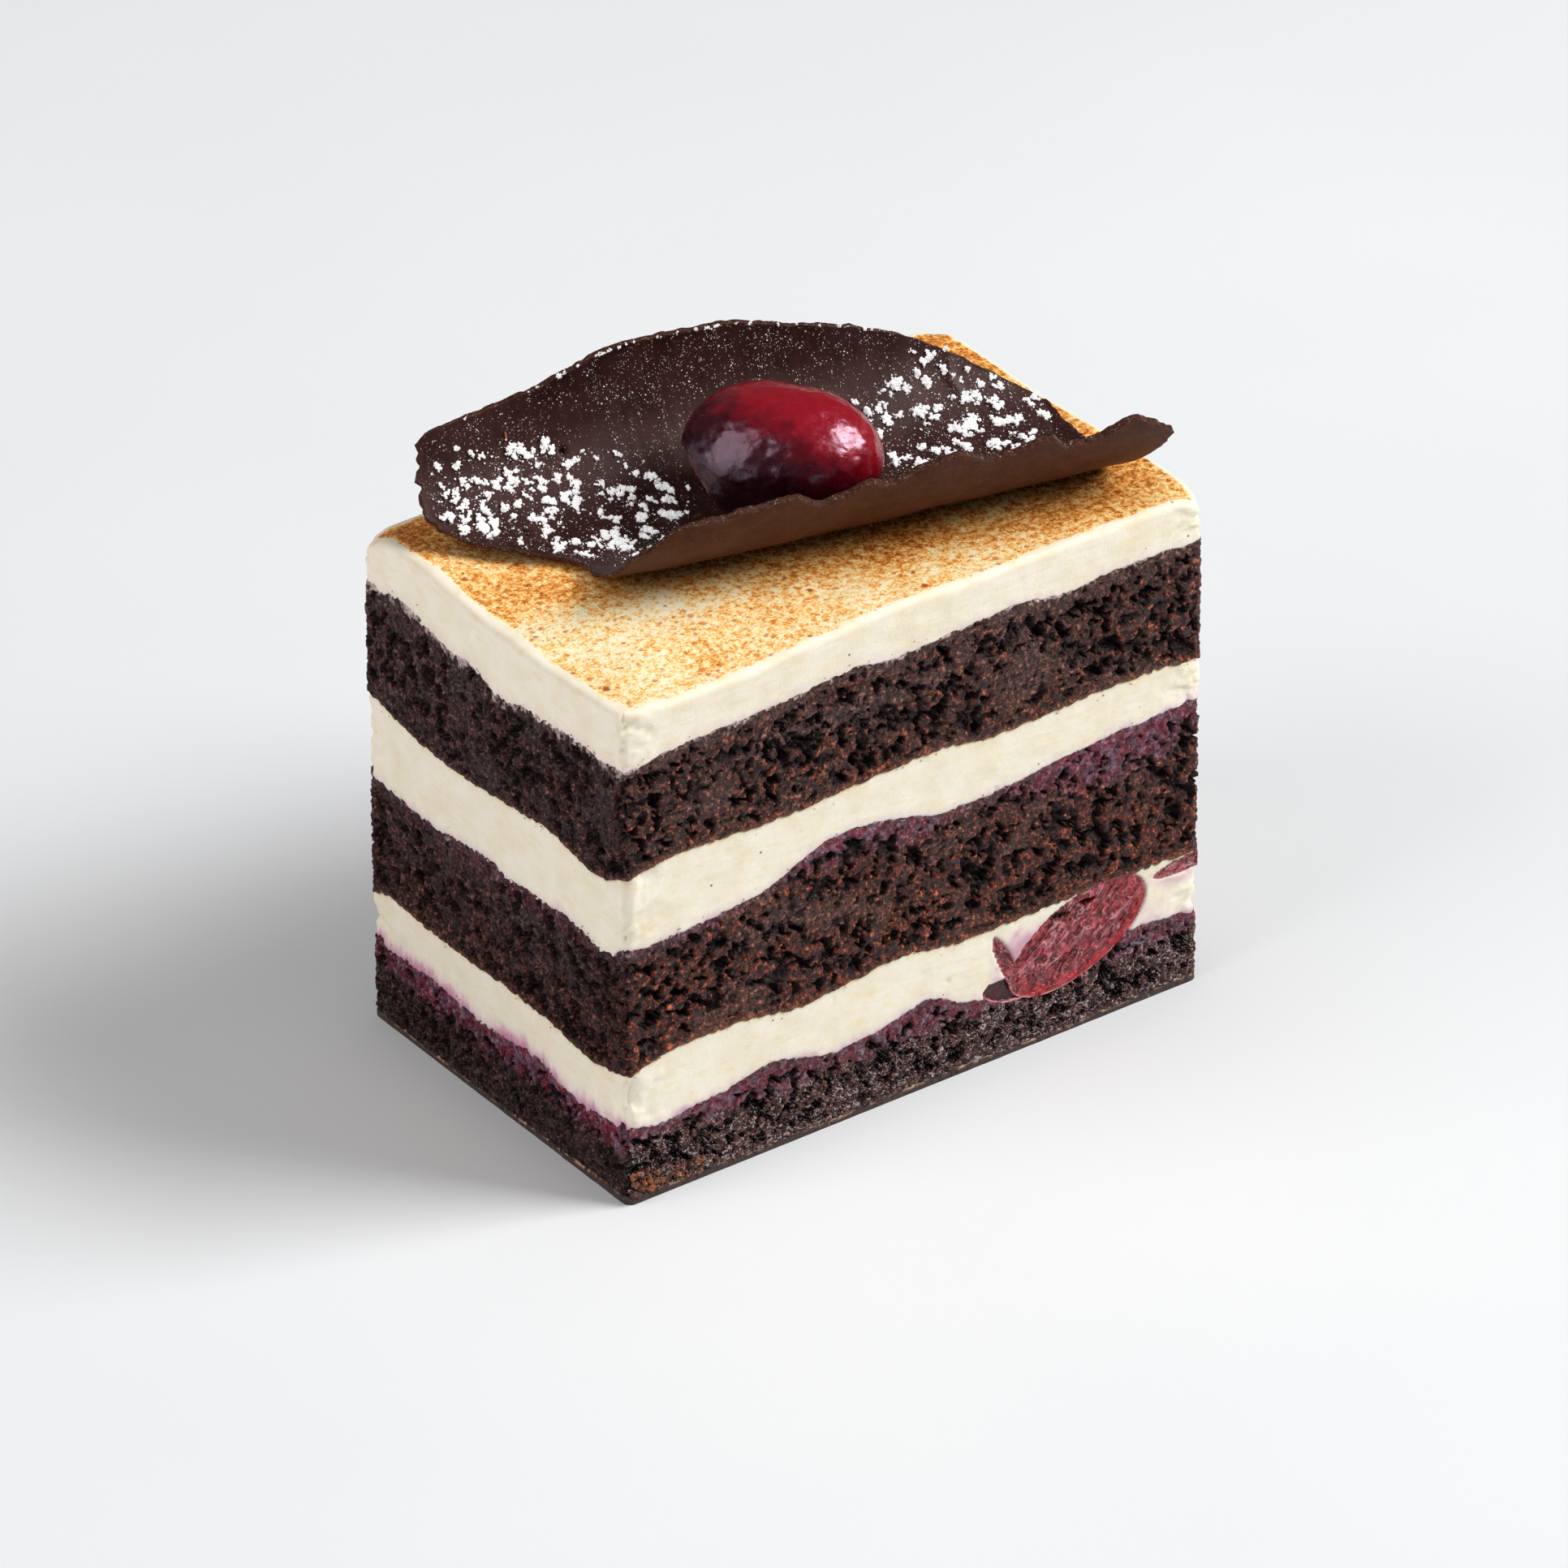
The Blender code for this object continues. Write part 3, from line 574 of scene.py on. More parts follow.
def cream_colour(look):
    """Cream, yellower in patches, pink at its foot, and mottled brown where crumb has rubbed off on it."""
    blush = look.attribute("blush")
    base = look.ramp(look.noise(0.22, 4.0, 0.6), (0.3, 240, 229, 203), (0.6, 246, 239, 222))
    streaks = look.noise(0.7, 4.0, 0.6, 0.5, look.stretched(0.5, 0.5, 1.5))
    base = look.mix(look.ramp(streaks, (0.54, 0.0), (0.72, 0.55)), base, (240, 219, 160))
    base = look.mix(look.ramp(blush, (0.0, 0.0), (0.45, 0.7)), base, (232, 208, 210))
    base = look.mix(look.ramp(blush, (0.4, 0.0), (1.0, 0.95)), base, (194, 122, 156))
    rubbed = look.attribute("seam") * 0.35 + look.noise(1.9, 5.0, 0.70, 0.5) * 0.9
    base = look.mix(look.ramp(rubbed, (0.56, 0.0), (0.72, 0.6)), base, (236, 206, 148))
    base = look.mix(look.ramp(rubbed, (0.77, 0.0), (0.86, 0.9)), base, (160, 94, 46))
    return look.mix(look.dots(0.22, 0.32), base, (160, 96, 52))


def cream_look():
    look = Look("cream", Roughness=0.42, Subsurface_Weight=0.35, Subsurface_Scale=0.0016,
                Subsurface_Radius=(1.0, 0.72, 0.48))
    look.set("Base Color", cream_colour(look))
    drag = look.bump(look.noise(2.6, 5.0, 0.6, 0.3, look.stretched(0.6, 0.6, 1.6)), 0.07, 0.7)
    look.set("Normal", look.bump(look.noise(0.9), 0.10, 0.5, drag))
    return look.material


def toasted_look():
    """Cream below, and on top cream browned in blotches, with ragged brown spots and small dark ones, and
    painted shade by the sheet.
    """
    look = Look("toasted_cream", Roughness=0.5, Subsurface_Weight=0.2, Subsurface_Scale=0.0012,
                Subsurface_Radius=(1.0, 0.6, 0.35), Specular_IOR_Level=0.28)
    # Browning, with painted shade from the sheet in it.
    toast_and_shade = look.attribute("toast_and_shade")
    broad = look.noise(0.10, 3.0, 0.55)
    blotch = look.noise(1.1, 5.0, 0.64, 0.3)
    grit = look.noise(3.0, 4.0, 0.66)
    heat = blotch * 0.55 + grit * 0.45 + (broad - 0.5) * 0.22 + (toast_and_shade - 0.75) * 0.22
    brown = look.ramp(heat, (0.41, 255, 244, 212), (0.47, 255, 224, 158), (0.53, 250, 184, 96),
                      (0.585, 218, 134, 56), (0.66, 146, 78, 30))
    ragged = look.warp(2.2, 0.7)
    brown = look.mix(look.dots(0.75, 0.62, ragged) * 0.8, brown, (206, 118, 42))
    brown = look.mix(look.dots(0.24, 0.80, ragged) * 0.95, brown, (164, 76, 24))
    brown = look.mix(look.dots(0.45, 0.26) * 0.9, brown, (122, 56, 20))
    look.set("Base Color", look.mix(look.ramp(toast_and_shade, (0.05, 0.0), (0.5, 1.0)), cream_colour(look), brown))
    look.set("Normal", look.bump(look.noise(2.4, 6.0, 0.65), 0.09, 0.8))
    return look.material


def chocolate_look():
    """Inside of the sheet dark with a bloom, outside milk brown, rims lighter where they broke, burst bubbles
    in painted shade.
    """
    look = Look("dark_chocolate", Specular_Tint=(1.0, 0.80, 0.76, 1.0))
    inside, rim = look.attribute("inside"), look.attribute("rim")
    cloud = look.noise(0.16, 4.0, 0.6)
    fine = look.noise(2.5, 5.0, 0.6)
    dark = look.ramp(cloud, (0.35, 38, 16, 14), (0.65, 54, 27, 24))
    dark = look.mix(look.ramp(look.attribute("drag"), (0.45, 0.0), (0.85, 0.35)), dark, (70, 42, 38))
    milk = look.ramp(look.noise(0.5, 5.0, 0.65), (0.3, 60, 31, 22), (0.7, 78, 44, 32))
    milk = look.mix(look.ramp(look.noise(3.2, 4.0, 0.7), (0.5, 0.0), (0.75, 0.5)), milk, (116, 74, 52))
    colour = look.mix(inside, milk, dark)
    colour = look.mix(rim, colour, look.ramp(fine, (0.34, 34, 16, 11), (0.66, 92, 54, 40)))
    # Painted shade: the burst bubbles are darkened to near black.
    colour = look.mix(look.attribute("painted_hole_shade"), colour, (18, 4, 5))
    drifts = look.noise(1.0, 4.0, 0.65, 0.3, look.stretched(1.0, 0.35, 0.35))
    dusty = look.attribute("dust") * look.ramp(drifts, (0.44, 0.0), (0.56, 1.0))
    colour = look.mix(look.dots(3.2, 0.14) * dusty, colour, (206, 196, 194))
    colour = look.mix(look.dots(1.7, 0.16) * dusty, colour, (236, 232, 232))
    look.set("Base Color", colour)
    look.set("Specular IOR Level", look.ramp(look.towards(rim, inside, 0.7), (0.0, 0.10), (1.0, 0.27)))
    look.set("Roughness", look.ramp(cloud + fine * 0.3, (0.4, 0.38), (0.85, 0.56)))
    chips = rim * look.noise(1.6, 5.0, 0.7)
    look.set("Normal", look.bump(chips, 0.35, 0.9, look.bump(fine, 0.03, 0.6)))
    return look.material


def coat_look():
    """Dark chocolate, tan along its broken upper edge."""
    look = Look("chocolate_coat", Specular_IOR_Level=0.4)
    fine = look.noise(1.8, 5.0, 0.65)
    colour = look.ramp(fine, (0.35, 34, 19, 16), (0.65, 70, 48, 40))
    tan = look.attribute("edge") * look.ramp(look.noise(0.7, 5.0, 0.7, 0.8), (0.50, 0.0), (0.60, 0.9))
    look.set("Base Color", look.mix(tan, colour, (186, 152, 122)))
    look.set("Roughness", look.ramp(fine, (0.3, 0.5), (0.7, 0.32)))
    look.set("Normal", look.bump(fine, 0.06, 0.7))
    return look.material


def cherry_look():
    """Glossy skin in painted light and shade, near black low on the left and red high on the right, with fine
    threads and a dull cut.
    """
    look = Look("cherry_skin", Subsurface_Weight=0.08, Subsurface_Scale=0.0012,
                Subsurface_Radius=(1.0, 0.12, 0.1), Specular_Tint=(1.0, 0.68, 0.92, 1.0), Coat_Roughness=0.12)
    cut = look.attribute("cut")
    mottle = look.noise(0.45, 4.0, 0.6)
    # Painted light and shade: the height value makes the skin red high and to the right, dark low and to the
    # left.
    shade = look.attribute("height") + (mottle - 0.5) * 0.6
    colour = look.ramp(shade, (0.22, 26, 1, 9), (0.55, 62, 2, 14), (0.92, 140, 6, 24))
    flecks = look.noise(1.4, 5.0, 0.62, 1.2, look.stretched(0.5, 1.0, 1.0))
    colour = look.mix(look.ramp(flecks, (0.60, 0.0), (0.76, 0.2)), colour, (140, 26, 40))
    thread = look.attribute("thread") * look.ramp(mottle, (0.42, 0.0), (0.62, 0.32))
    colour = look.mix(thread, colour, (186, 84, 92))
    look.set("Base Color", look.mix(cut, colour, (70, 8, 16)))
    look.set("Roughness", look.ramp(look.noise(0.8, 4.0, 0.6), (0.4, 0.17), (0.65, 0.32)))
    look.set("Specular IOR Level", look.ramp(cut, (0.0, 0.85), (0.8, 0.12)))
    look.set("Coat Weight", look.ramp(cut, (0.0, 0.22), (0.8, 0.0)))
    wrinkles = look.bump(look.noise(0.5, 2.0, 0.5, 1.2), 0.11, 0.4)
    creases = look.noise(1.5, 3.0, 0.55, 2.0, look.stretched(0.7, 1.0, 1.6))
    look.set("Normal", look.bump(creases, 0.035, 0.7, wrinkles))
    return look.material


def cut_cherry_look():
    """Maroon flesh with pale threads, a bright red skin along its foot, a pale line round it and painted
    shade in its hollows.
    """
    look = Look("cherry_flesh", Subsurface_Weight=0.12, Subsurface_Scale=0.001,
                Subsurface_Radius=(1.0, 0.25, 0.25), Specular_IOR_Level=0.6)
    vein = look.attribute("vein")
    cloud = look.noise(0.35, 3.0, 0.55)
    fine = look.noise(1.0, 4.0, 0.56, 0.9)
    flesh = look.ramp(fine, (0.38, 74, 5, 14), (0.50, 124, 22, 34), (0.62, 180, 70, 80))
    haze = look.ramp(fine, (0.38, 112, 36, 50), (0.62, 188, 116, 130))
    skin = look.ramp(fine, (0.38, 132, 8, 18), (0.62, 200, 44, 50))
    flesh = look.mix(look.ramp(cloud, (0.52, 0.0), (0.66, 0.6)), flesh, haze)
    flesh = look.mix(look.ramp(vein, (0.72, 0.0), (0.98, 0.6)), flesh, (216, 156, 162))
    flesh = look.mix(look.attribute("rim"), flesh, skin)
    # Painted shade in the hollows of the cut cherry; darker tone at random on the flap and the sliver.
    flesh = look.mix(look.attribute("dark"), flesh, (54, 1, 10))
    look.set("Base Color", look.mix(look.attribute("line"), flesh, (222, 158, 164)))
    look.set("Roughness", look.ramp(fine, (0.38, 0.10), (0.62, 0.22)))
    beads = look.bump(look.noise(2.2, 3.0, 0.5, 0.4), 0.22, 0.9)
    look.set("Normal", look.bump(fine, 0.30, 0.9, look.bump(vein, 0.22, 0.8, beads)))
    return look.material


def scrap_look():
    """Nearly black flesh with a pale edge."""
    look = Look("cherry_scrap", Roughness=0.20, Specular_IOR_Level=0.4)
    fine = look.noise(1.2, 4.0, 0.6)
    colour = look.ramp(fine, (0.35, 40, 1, 7), (0.65, 78, 8, 16))
    look.set("Base Color", look.mix(look.attribute("rim"), colour, (206, 138, 146)))
    look.set("Normal", look.bump(fine, 0.06, 0.6))
    return look.material


def sugar_look():
    # Painted light: the sugar glows faintly through its emission, to lift it.
    look = Look("icing_sugar", Roughness=0.8, Subsurface_Weight=0.6, Subsurface_Scale=0.0008,
                Subsurface_Radius=(1.0, 1.0, 1.0), Sheen_Weight=0.4, Emission_Color=(1.0, 1.0, 1.0, 1.0),
                Emission_Strength=0.14)
    fine = look.noise(4.0, 4.0, 0.7)
    look.set("Base Color", look.ramp(fine, (0.3, 250, 251, 253), (0.6, 255, 255, 255)))
    look.set("Normal", look.bump(fine, 0.05, 0.6))
    return look.material


def loose_crumb_look():
    look = Look("loose_crumbs", Specular_IOR_Level=0.4)
    fine = look.noise(3.0, 5.0, 0.65)
    brown = look.ramp(fine, (0.3, 28, 14, 11), (0.7, 96, 66, 56))
    rust = look.ramp(fine, (0.3, 104, 46, 20), (0.7, 190, 112, 62))
    look.set("Base Color", look.mix(look.attribute("tint"), brown, rust))
    look.set("Roughness", look.ramp(fine, (0.3, 0.7), (0.7, 0.5)))
    look.set("Normal", look.bump(fine, 0.12, 0.9))
    return look.material


def floor_look():
    look = Look("pale_floor", Roughness=0.6, Specular_IOR_Level=0.3)
    look.set("Base Color", look.ramp(look.noise(0.006), (0.3, 228, 232, 236), (0.7, 234, 237, 240)))
    return look.material


# ---------------------------------------------------------------- the layers


def edge_heights(seam, x, y):
    """Height of a seam at (x, y), from the curves that it draws on the four faces."""
    front, left, wave = seam["front"], seam["left"], seam["wave"]
    u, v = x / LENGTH + 0.5, y / WIDTH + 0.5
    near_left, near_right, far_left = front[0][1], front[-1][1], left[-1][1]
    far_right = 0.5 * (near_right + far_left)
    swell = np.sin(np.pi * u) * np.sin(BACK_WAVE[0] * u + BACK_WAVE[1] * wave)
    back = far_left + u * (far_right - far_left) + wave * swell
    swell = np.sin(np.pi * v) * np.sin(RIGHT_WAVE[0] * v + RIGHT_WAVE[1] * wave)
    right = near_right + v * (far_right - near_right) + wave * swell
    near = (1 - u) * near_left + u * near_right
    far = (1 - u) * far_left + u * far_right
    corners = (1 - v) * near + v * far
    return (1 - v) * curve(front, x) + v * back + (1 - u) * curve(left, y) + u * right - corners


def seam_height(name, plan):
    return edge_heights(SEAMS[name], plan[:, 0], plan[:, 1])


def on_ground(plan):
    """Points at height 0 under a plan."""
    return np.concatenate([plan, np.zeros((len(plan), 1))], axis=-1)


def sheet_frame():
    turn = Matrix.Rotation(math.radians(SHEET_HEADING), 4, "Z")
    return Matrix.Translation((*SHEET_MIDDLE, SHEET_REST)) @ turn


def crown_height(x, y):
    """Height of the top, wavy at the faces and level inside, pressed flat under the sheet."""
    inset = np.minimum(LENGTH / 2 - np.abs(x), WIDTH / 2 - np.abs(y))
    share = 1.0 - smooth_step(inset / CROWN_EASE)
    height = CROWN_LEVEL + share * (edge_heights(SEAMS["crown"], x, y) - CROWN_LEVEL)
    height += CROWN_BUMP * value_noise(np.stack([x, y, 0 * x], axis=-1) / CROWN_GRAIN, 3)
    for corner in ((-1, 1), (1, 1), (1, -1)):
        away = np.hypot(x - corner[0] * LENGTH / 2, y - corner[1] * WIDTH / 2)
        height -= CORNER_DROP * np.exp(-((away / CORNER_SLUMP) ** 2))
    turn = math.radians(SHEET_HEADING)
    across = (y - SHEET_MIDDLE[1]) * math.cos(turn) - (x - SHEET_MIDDLE[0]) * math.sin(turn)
    bend = np.sqrt(np.maximum(SHEET_RADIUS**2 - across**2, 0.0))
    return np.minimum(height, SHEET_REST + SHEET_RADIUS - bend - SHEET_CLEARANCE)


def block_columns(pitch):
    """Columns round the block, from the front left corner along the front.

    Each has a foot, on the block's rectangle less the corner radius, and the way that it faces. The last
    value is the number of steps along a long face and along a short one.
    """
    corners = [INNER_HALF * sign for sign in ((-1, -1), (1, -1), (1, 1), (-1, 1))]
    steps = [round(2 * half / pitch) for half in INNER_HALF]
    feet, outs = [], []
    for side in range(4):
        start, end = corners[side], corners[(side + 1) % 4]
        facing = math.radians(90 * (side - 1))
        share = np.linspace(0, 1, steps[side % 2] + 1)[:, None]
        feet.append(start + share * (end - start))
        outs.append(np.tile([math.cos(facing), math.sin(facing)], (len(share), 1)))
        turn = facing + math.pi / 2 * np.arange(1, CORNER_STEPS) / CORNER_STEPS
        feet.append(np.tile(end, (CORNER_STEPS - 1, 1)))
        outs.append(np.stack([np.cos(turn), np.sin(turn)], axis=-1))
    return np.concatenate(feet), np.concatenate(outs), steps


def within_corner(depth, feet):
    """Depths, held back near the corners so that the two faces do not run into each other."""
    away = np.max(INNER_HALF - np.abs(feet), axis=1)
    return np.minimum(depth, 0.9 * (CORNER_RADIUS + away))


def fruit_frame(fruit):
    """The middle of a cut fruit on the front face, and its axes."""
    middle, _, tilt = fruit
    turn = math.radians(tilt)
    axes = np.array([[math.cos(turn), 0, math.sin(turn)], [0, 1, 0], [-math.sin(turn), 0, math.cos(turn)]])
    return np.array([middle[0], -WIDTH / 2, middle[1]]), axes


def ellipsoid_exit(points, inward, fruit, grow):
    """How deep a fruit's ellipsoid reaches below each point of a face."""
    origin, axes = fruit_frame(fruit)
    size = np.array(fruit[1]) + grow
    start = (points - origin) @ axes.T / size
    way = inward @ axes.T / size
    a = np.sum(way * way, axis=-1)
    b = np.sum(start * way, axis=-1)
    c = np.sum(start * start, axis=-1) - 1.0
    root = b * b - a * c
    leave = (-b + np.sqrt(np.maximum(root, 0.0))) / a
    return np.where((root > 0) & (leave > 0) & (c < 0.35), leave, 0.0)


def fruit_beds(points, inward):
    """Depth of the hollows in which the cut fruit lies."""
    depth = 0.0
    for fruit in (CUT_CHERRY, FLAP, SCRAP, SLIVER):
        depth = np.maximum(depth, ellipsoid_exit(points, inward, fruit, -0.12))
    return depth


def lattice(feet, outs, heights):
    """Points on the block's faces, for rows of heights, and the way inward from each."""
    plan = np.broadcast_to(feet + outs * CORNER_RADIUS, heights.shape + (2,))
    points = np.concatenate([plan, heights[..., None]], axis=-1)
    return points, np.broadcast_to(on_ground(-outs), points.shape)


def wrap(name, feet, outs, heights, depth, look, values):
    """A closed shell from rows of heights and depths round the block, with hidden caps."""
    rows, count = heights.shape
    plan = feet + outs * (CORNER_RADIUS - within_corner(depth, feet)[..., None])
    points = np.concatenate([plan, heights[..., None]], axis=-1).reshape(-1, 3)
    middles = np.array([[0, 0, heights[0].mean()], [0, 0, heights[-1].mean()]])
    points = np.concatenate([points, middles])
    ring = np.arange(count)
    caps = [
        fan_faces(ring, rows * count, False),
        fan_faces(ring + (rows - 1) * count, rows * count + 1, True),
    ]
    values = {key: np.concatenate([value.ravel(), [0.0, 0.0]]) for key, value in values.items()}
    return build_mesh(name, points, [ring_faces(rows, count), *caps], look, values)


def turn_in(heights, depth, values, foot=(), head=()):
    """Adds the rows that turn in behind a layer's edges, with the values of the edge that they follow."""
    below = [depth[:1] * share + extra for _, share, extra in foot]
    above = [depth[-1:] * share + extra for _, share, extra in head]
    depth = np.concatenate([*below, depth, *above])
    below = [heights[:1] + rise for rise, _, _ in foot]
    above = [heights[-1:] + rise for rise, _, _ in head]
    heights = np.concatenate([*below, heights, *above])
    for key, rows in values.items():
        values[key] = np.concatenate([rows[:1]] * len(foot) + [rows] + [rows[-1:]] * len(head))
    return heights, depth, values


# Where juice has soaked in: on which face, middle, half-sizes and strength.
STAINS = [
    ("front", (-12.0, 41.3), (7.5, 2.8), 1.0),
    ("front", (-2.0, 40.0), (9.0, 2.2), 0.7),
    ("front", (31.0, 39.6), (18.0, 4.2), 1.0),
    ("front", (43.5, 9.4), (2.2, 1.6), 1.0),
    ("front", (-43.0, 10.6), (5.0, 2.0), 0.9),
    ("front", (-26.0, 10.2), (14.0, 2.6), 0.9),
    ("front", (-4.0, 10.4), (12.0, 3.0), 0.9),
    ("front", (36.0, 9.2), (8.0, 2.6), 0.85),
    ("left", (-24.0, 9.6), (7.0, 2.4), 1.0),
    ("left", (-8.0, 10.2), (13.0, 2.6), 1.0),
    ("left", (14.0, 10.2), (15.0, 2.6), 1.0),
    ("left", (-4.0, 35.2), (22.0, 1.5), 0.35),
]


# Where the crumb is rusty rather than grey.
RUST = [
    ("front", (-42.5, 3.2), (4.5, 2.8), 0.45),
    ("front", (-30.0, 27.0), (12.0, 4.0), 0.14),
    ("front", (4.0, 33.0), (14.0, 4.5), 0.16),
    ("front", (32.0, 30.0), (10.0, 5.0), 0.12),
    ("front", (-6.0, 56.0), (12.0, 4.0), 0.08),
    ("left", (-25.0, 25.0), (5.0, 4.0), 0.14),
]

# Where a greyish film lies on the crumb.
HAZE = [
    ("left", (-10.0, 31.0), (14.0, 4.0), 0.9),
    ("left", (12.0, 29.0), (9.0, 4.0), 0.6),
    ("front", (-22.0, 33.5), (10.0, 3.0), 0.7),
    ("front", (-14.0, 60.5), (22.0, 2.4), 0.7),
    ("front", (16.0, 62.5), (14.0, 2.0), 0.6),
]

# How far juice has soaked down from each seam: strength and reach on the long faces and on the short ones.
SOAKED = {
    "lower_cream_floor": {"long": (0.9, 3.2), "short": (1.3, 5.0)},
    "upper_cream_floor": {"long": (0.8, 1.5), "short": (0.5, 2.0)},
    "top_cream_floor": {"long": (0.12, 1.0), "short": (0.12, 1.2)},
}

# How far pink has come up into the cream from its lower seam, in the same way.
PINK = {
    "lower_cream_floor": {"long": (0.65, 1.6), "short": (1.3, 2.9)},
    "upper_cream_floor": {"long": (0.60, 1.5), "short": (0.55, 1.6)},
    "top_cream_floor": {"long": (0.42, 1.5), "short": (0.40, 1.9)},
}


def patches(table, points, outs, grain, seed):
    """The strongest of a table's ragged ovals at each point of the faces."""
    total = np.zeros(points.shape[:-1])
    ragged = fractal(points / grain, 3, seed)
    for face, middle, half, strength in table:
        along = points[..., 0] if face == "front" else points[..., 1]
        facing = -outs[..., 1] if face == "front" else -outs[..., 0]
        away = np.hypot((along - middle[0]) / half[0], (points[..., 2] - middle[1]) / half[1])
        inside = 1.0 - smooth_step(away + 0.5 * ragged, 0.45, 1.25)
        total = np.maximum(total, strength * inside * smooth_step(facing, 0.3, 0.9))
    return total


def along_seam(table, outs):
    """Strength and reach of what a seam lets through, at each point of the faces."""
    short = smooth_step(np.abs(outs[..., 0]), 0.3, 0.9)
    (long_strength, long_reach), (short_strength, short_reach) = table["long"], table["short"]
    strength = long_strength + short * (short_strength - long_strength)
    return strength, long_reach + short * (short_reach - long_reach)


def ragged_edge(seam, plan):
    """Height of a sponge's lower edge, where crumbs hang over the cream."""
    edge = on_ground(plan)
    wobble = 0.42 * fractal(edge / 0.8, 3, 2001, 0.7) + 0.22 * fractal(edge / 3.5, 2, 2010)
    return seam_height(seam, plan) + wobble


def juice_from(above, points, facing, under, seed):
    """How much juice has come down into the crumb from the cream above it."""
    strength, reach = along_seam(SOAKED[above], facing)
    uneven = strength * (0.65 + 0.6 * fractal(points / [5.0, 5.0, 9.0], 2, seed))
    ragged = under + 1.3 * fractal(points / 1.5, 3, seed + 10)
    return np.clip(uneven, 0, 1) * (1.0 - smooth_step(ragged, 0.3 * reach, reach))


def crumb_wear(points, feet, outs, seed):
    """How much crumb has broken off the upright edges, most of all off the nearest one."""
    nearest = np.where((feet[:, 0] < 0) & (feet[:, 1] < 0), 1.0, 0.35)
    wear = smooth_step(1.0 - np.abs(outs).max(axis=1), 0.0, 0.25)
    return wear * nearest * (0.3 + 0.5 * fractal(points / 1.8, 3, seed))


def make_sponge(name, node, below, above, look, *, pitch, seed, moist, rusty, smeared):
    """A layer of crumb between two seams: how wet its front is, which also sets its painted glints, how
    rusty, and how smeared along its top.
    """
    feet, outs, _ = block_columns(pitch)
    plan = feet + outs * CORNER_RADIUS
    on_cream = below != "coat"
    low = ragged_edge(below, plan) if on_cream else seam_height(below, plan)
    seam = seam_height(above, plan)
    high = seam + TUCK
    rows = int(np.ceil((high - low).max() / pitch)) + 1
    heights = low + np.linspace(0, 1, rows)[:, None] * (high - low)
    points, inward = lattice(feet, outs, heights)
    under, over = seam - heights, heights - low
    facing = np.broadcast_to(outs, points.shape[:-1] + (2,))
    short_face = smooth_step(-facing[..., 0], 0.3, 0.9)

    skin = 1.0 - smooth_step(under + 0.9 * fractal(points / 2.2, 2, seed + 30), 0.6, 2.6)
    dense = np.maximum(skin, smooth_step(fractal(points / 8.0, 2, seed + 35), 0.16, 0.45))
    wall = OPENNESS + 0.10 * fractal(points / 5.0, 2, seed + 45)
    wall = wall - 0.20 * dense - 0.14 * skin - 0.06 * short_face
    open_crumb = first_wall(warped(points, 1.3, 0.4, seed + 40), inward, wall, seed + 50)
    open_crumb *= smooth_step(over, 0.55, 1.6) * smooth_step(under, 0.0, 1.0)
    seen = warped(points + inward * open_crumb[..., None], 1.3, 0.36, seed + 80)
    dome, which = grains(seen, GRAIN_SIZE, seed + 90)

    depth = CRUMB_DEPTH + open_crumb - GRAIN_HEIGHT * dome * (1.0 - 0.45 * dense)
    depth += 0.18 * fractal(seen / 0.6, 2, seed + 100) + 0.10 * fractal(points / 6.0, 2, seed + 110)
    depth += 0.25 * (1.0 - smooth_step(under, -0.35, 0.1)) + 0.9 * (1.0 - smooth_step(under, -0.9, -0.5))
    depth -= 0.22 * on_cream * (1.0 - smooth_step(over, 0.25, 0.8))
    depth += crumb_wear(points, feet, outs, seed + 120)
    depth = np.maximum(np.maximum(depth, 0.0), fruit_beds(points, inward))

    smudge = (1.0 + 0.8 * short_face) * fractal(points / [0.7, 0.7, 1.8], 3, seed + 130, 0.6)
    film = 0.85 * np.maximum(skin, 0.6 * dense) * (1.0 - 0.3 * short_face) + 0.15 * short_face
    overhang = over + 0.4 * fractal(points / 0.6, 2, seed + 140)
    soaked = juice_from(above, points, facing, under, seed + 150)
    foot = 1.0 - smooth_step(points[..., 2], 6.0, 14.0)
    wet_foot = 1.0 - smooth_step(points[..., 2] + 1.5 * fractal(points / 4.0, 2, 7), 6.0, 10.5)
    values = {
        # Painted shade in the pores and between the grains.
        "pore_shade": np.clip((open_crumb - 0.1) / 1.2 + 0.55 * (1.0 - dome) ** 2 * (1.0 - 0.5 * dense), 0, 1),
        # Painted shade on the short face, deeper at its foot.
        "shade": short_face * (0.44 + 0.28 * foot),
        "skin": np.maximum(film, patches(HAZE, points, facing, 2.5, 75)),
        "rust": rusty + patches(RUST, points, facing, 2.5, 73),
        "stain": np.maximum(patches(STAINS, points, facing, 1.6, 71), soaked),
        # Wetness for the gloss, and where the painted glints are dense.
        "wet_and_glints": moist * wet_foot * (0.06 + 0.94 * smooth_step(-facing[..., 1], 0.3, 0.9)),
        "tint": which,
        "smear": smeared * (1.0 - smooth_step(under + smudge, -0.4, 0.9 + 1.2 * short_face)),
        "fringe": on_cream * (1.0 - smooth_step(overhang, 0.05, 0.5)),
    }
    turned = SPONGE_FOOT if on_cream else SPONGE_FOOT_ON_COAT
    heights, depth, values = turn_in(heights, depth, values, turned, SPONGE_HEAD)
    return keep(wrap(name, feet, outs, heights, depth, look, values), "sponge", node)


def corner_wear(points, seed):
    """How much softer the upright edges of the cream are, and how lumpy the cream is near them."""
    sides = [LENGTH / 2 - np.abs(points[..., 0]), WIDTH / 2 - np.abs(points[..., 1])]
    away = (sides[0] ** 4 + sides[1] ** 4) ** 0.25
    wear = np.exp(-((away / 1.3) ** 2)) * (0.45 + 0.5 * fractal(points / 2.2, 3, seed))
    folds = fractal(warped(points, 3.0, 1.2, seed + 2) / [2.6, 2.6, 1.7], 3, seed + 1, 0.55)
    return wear + 0.75 * np.exp(-((away / 4.5) ** 2)) * folds


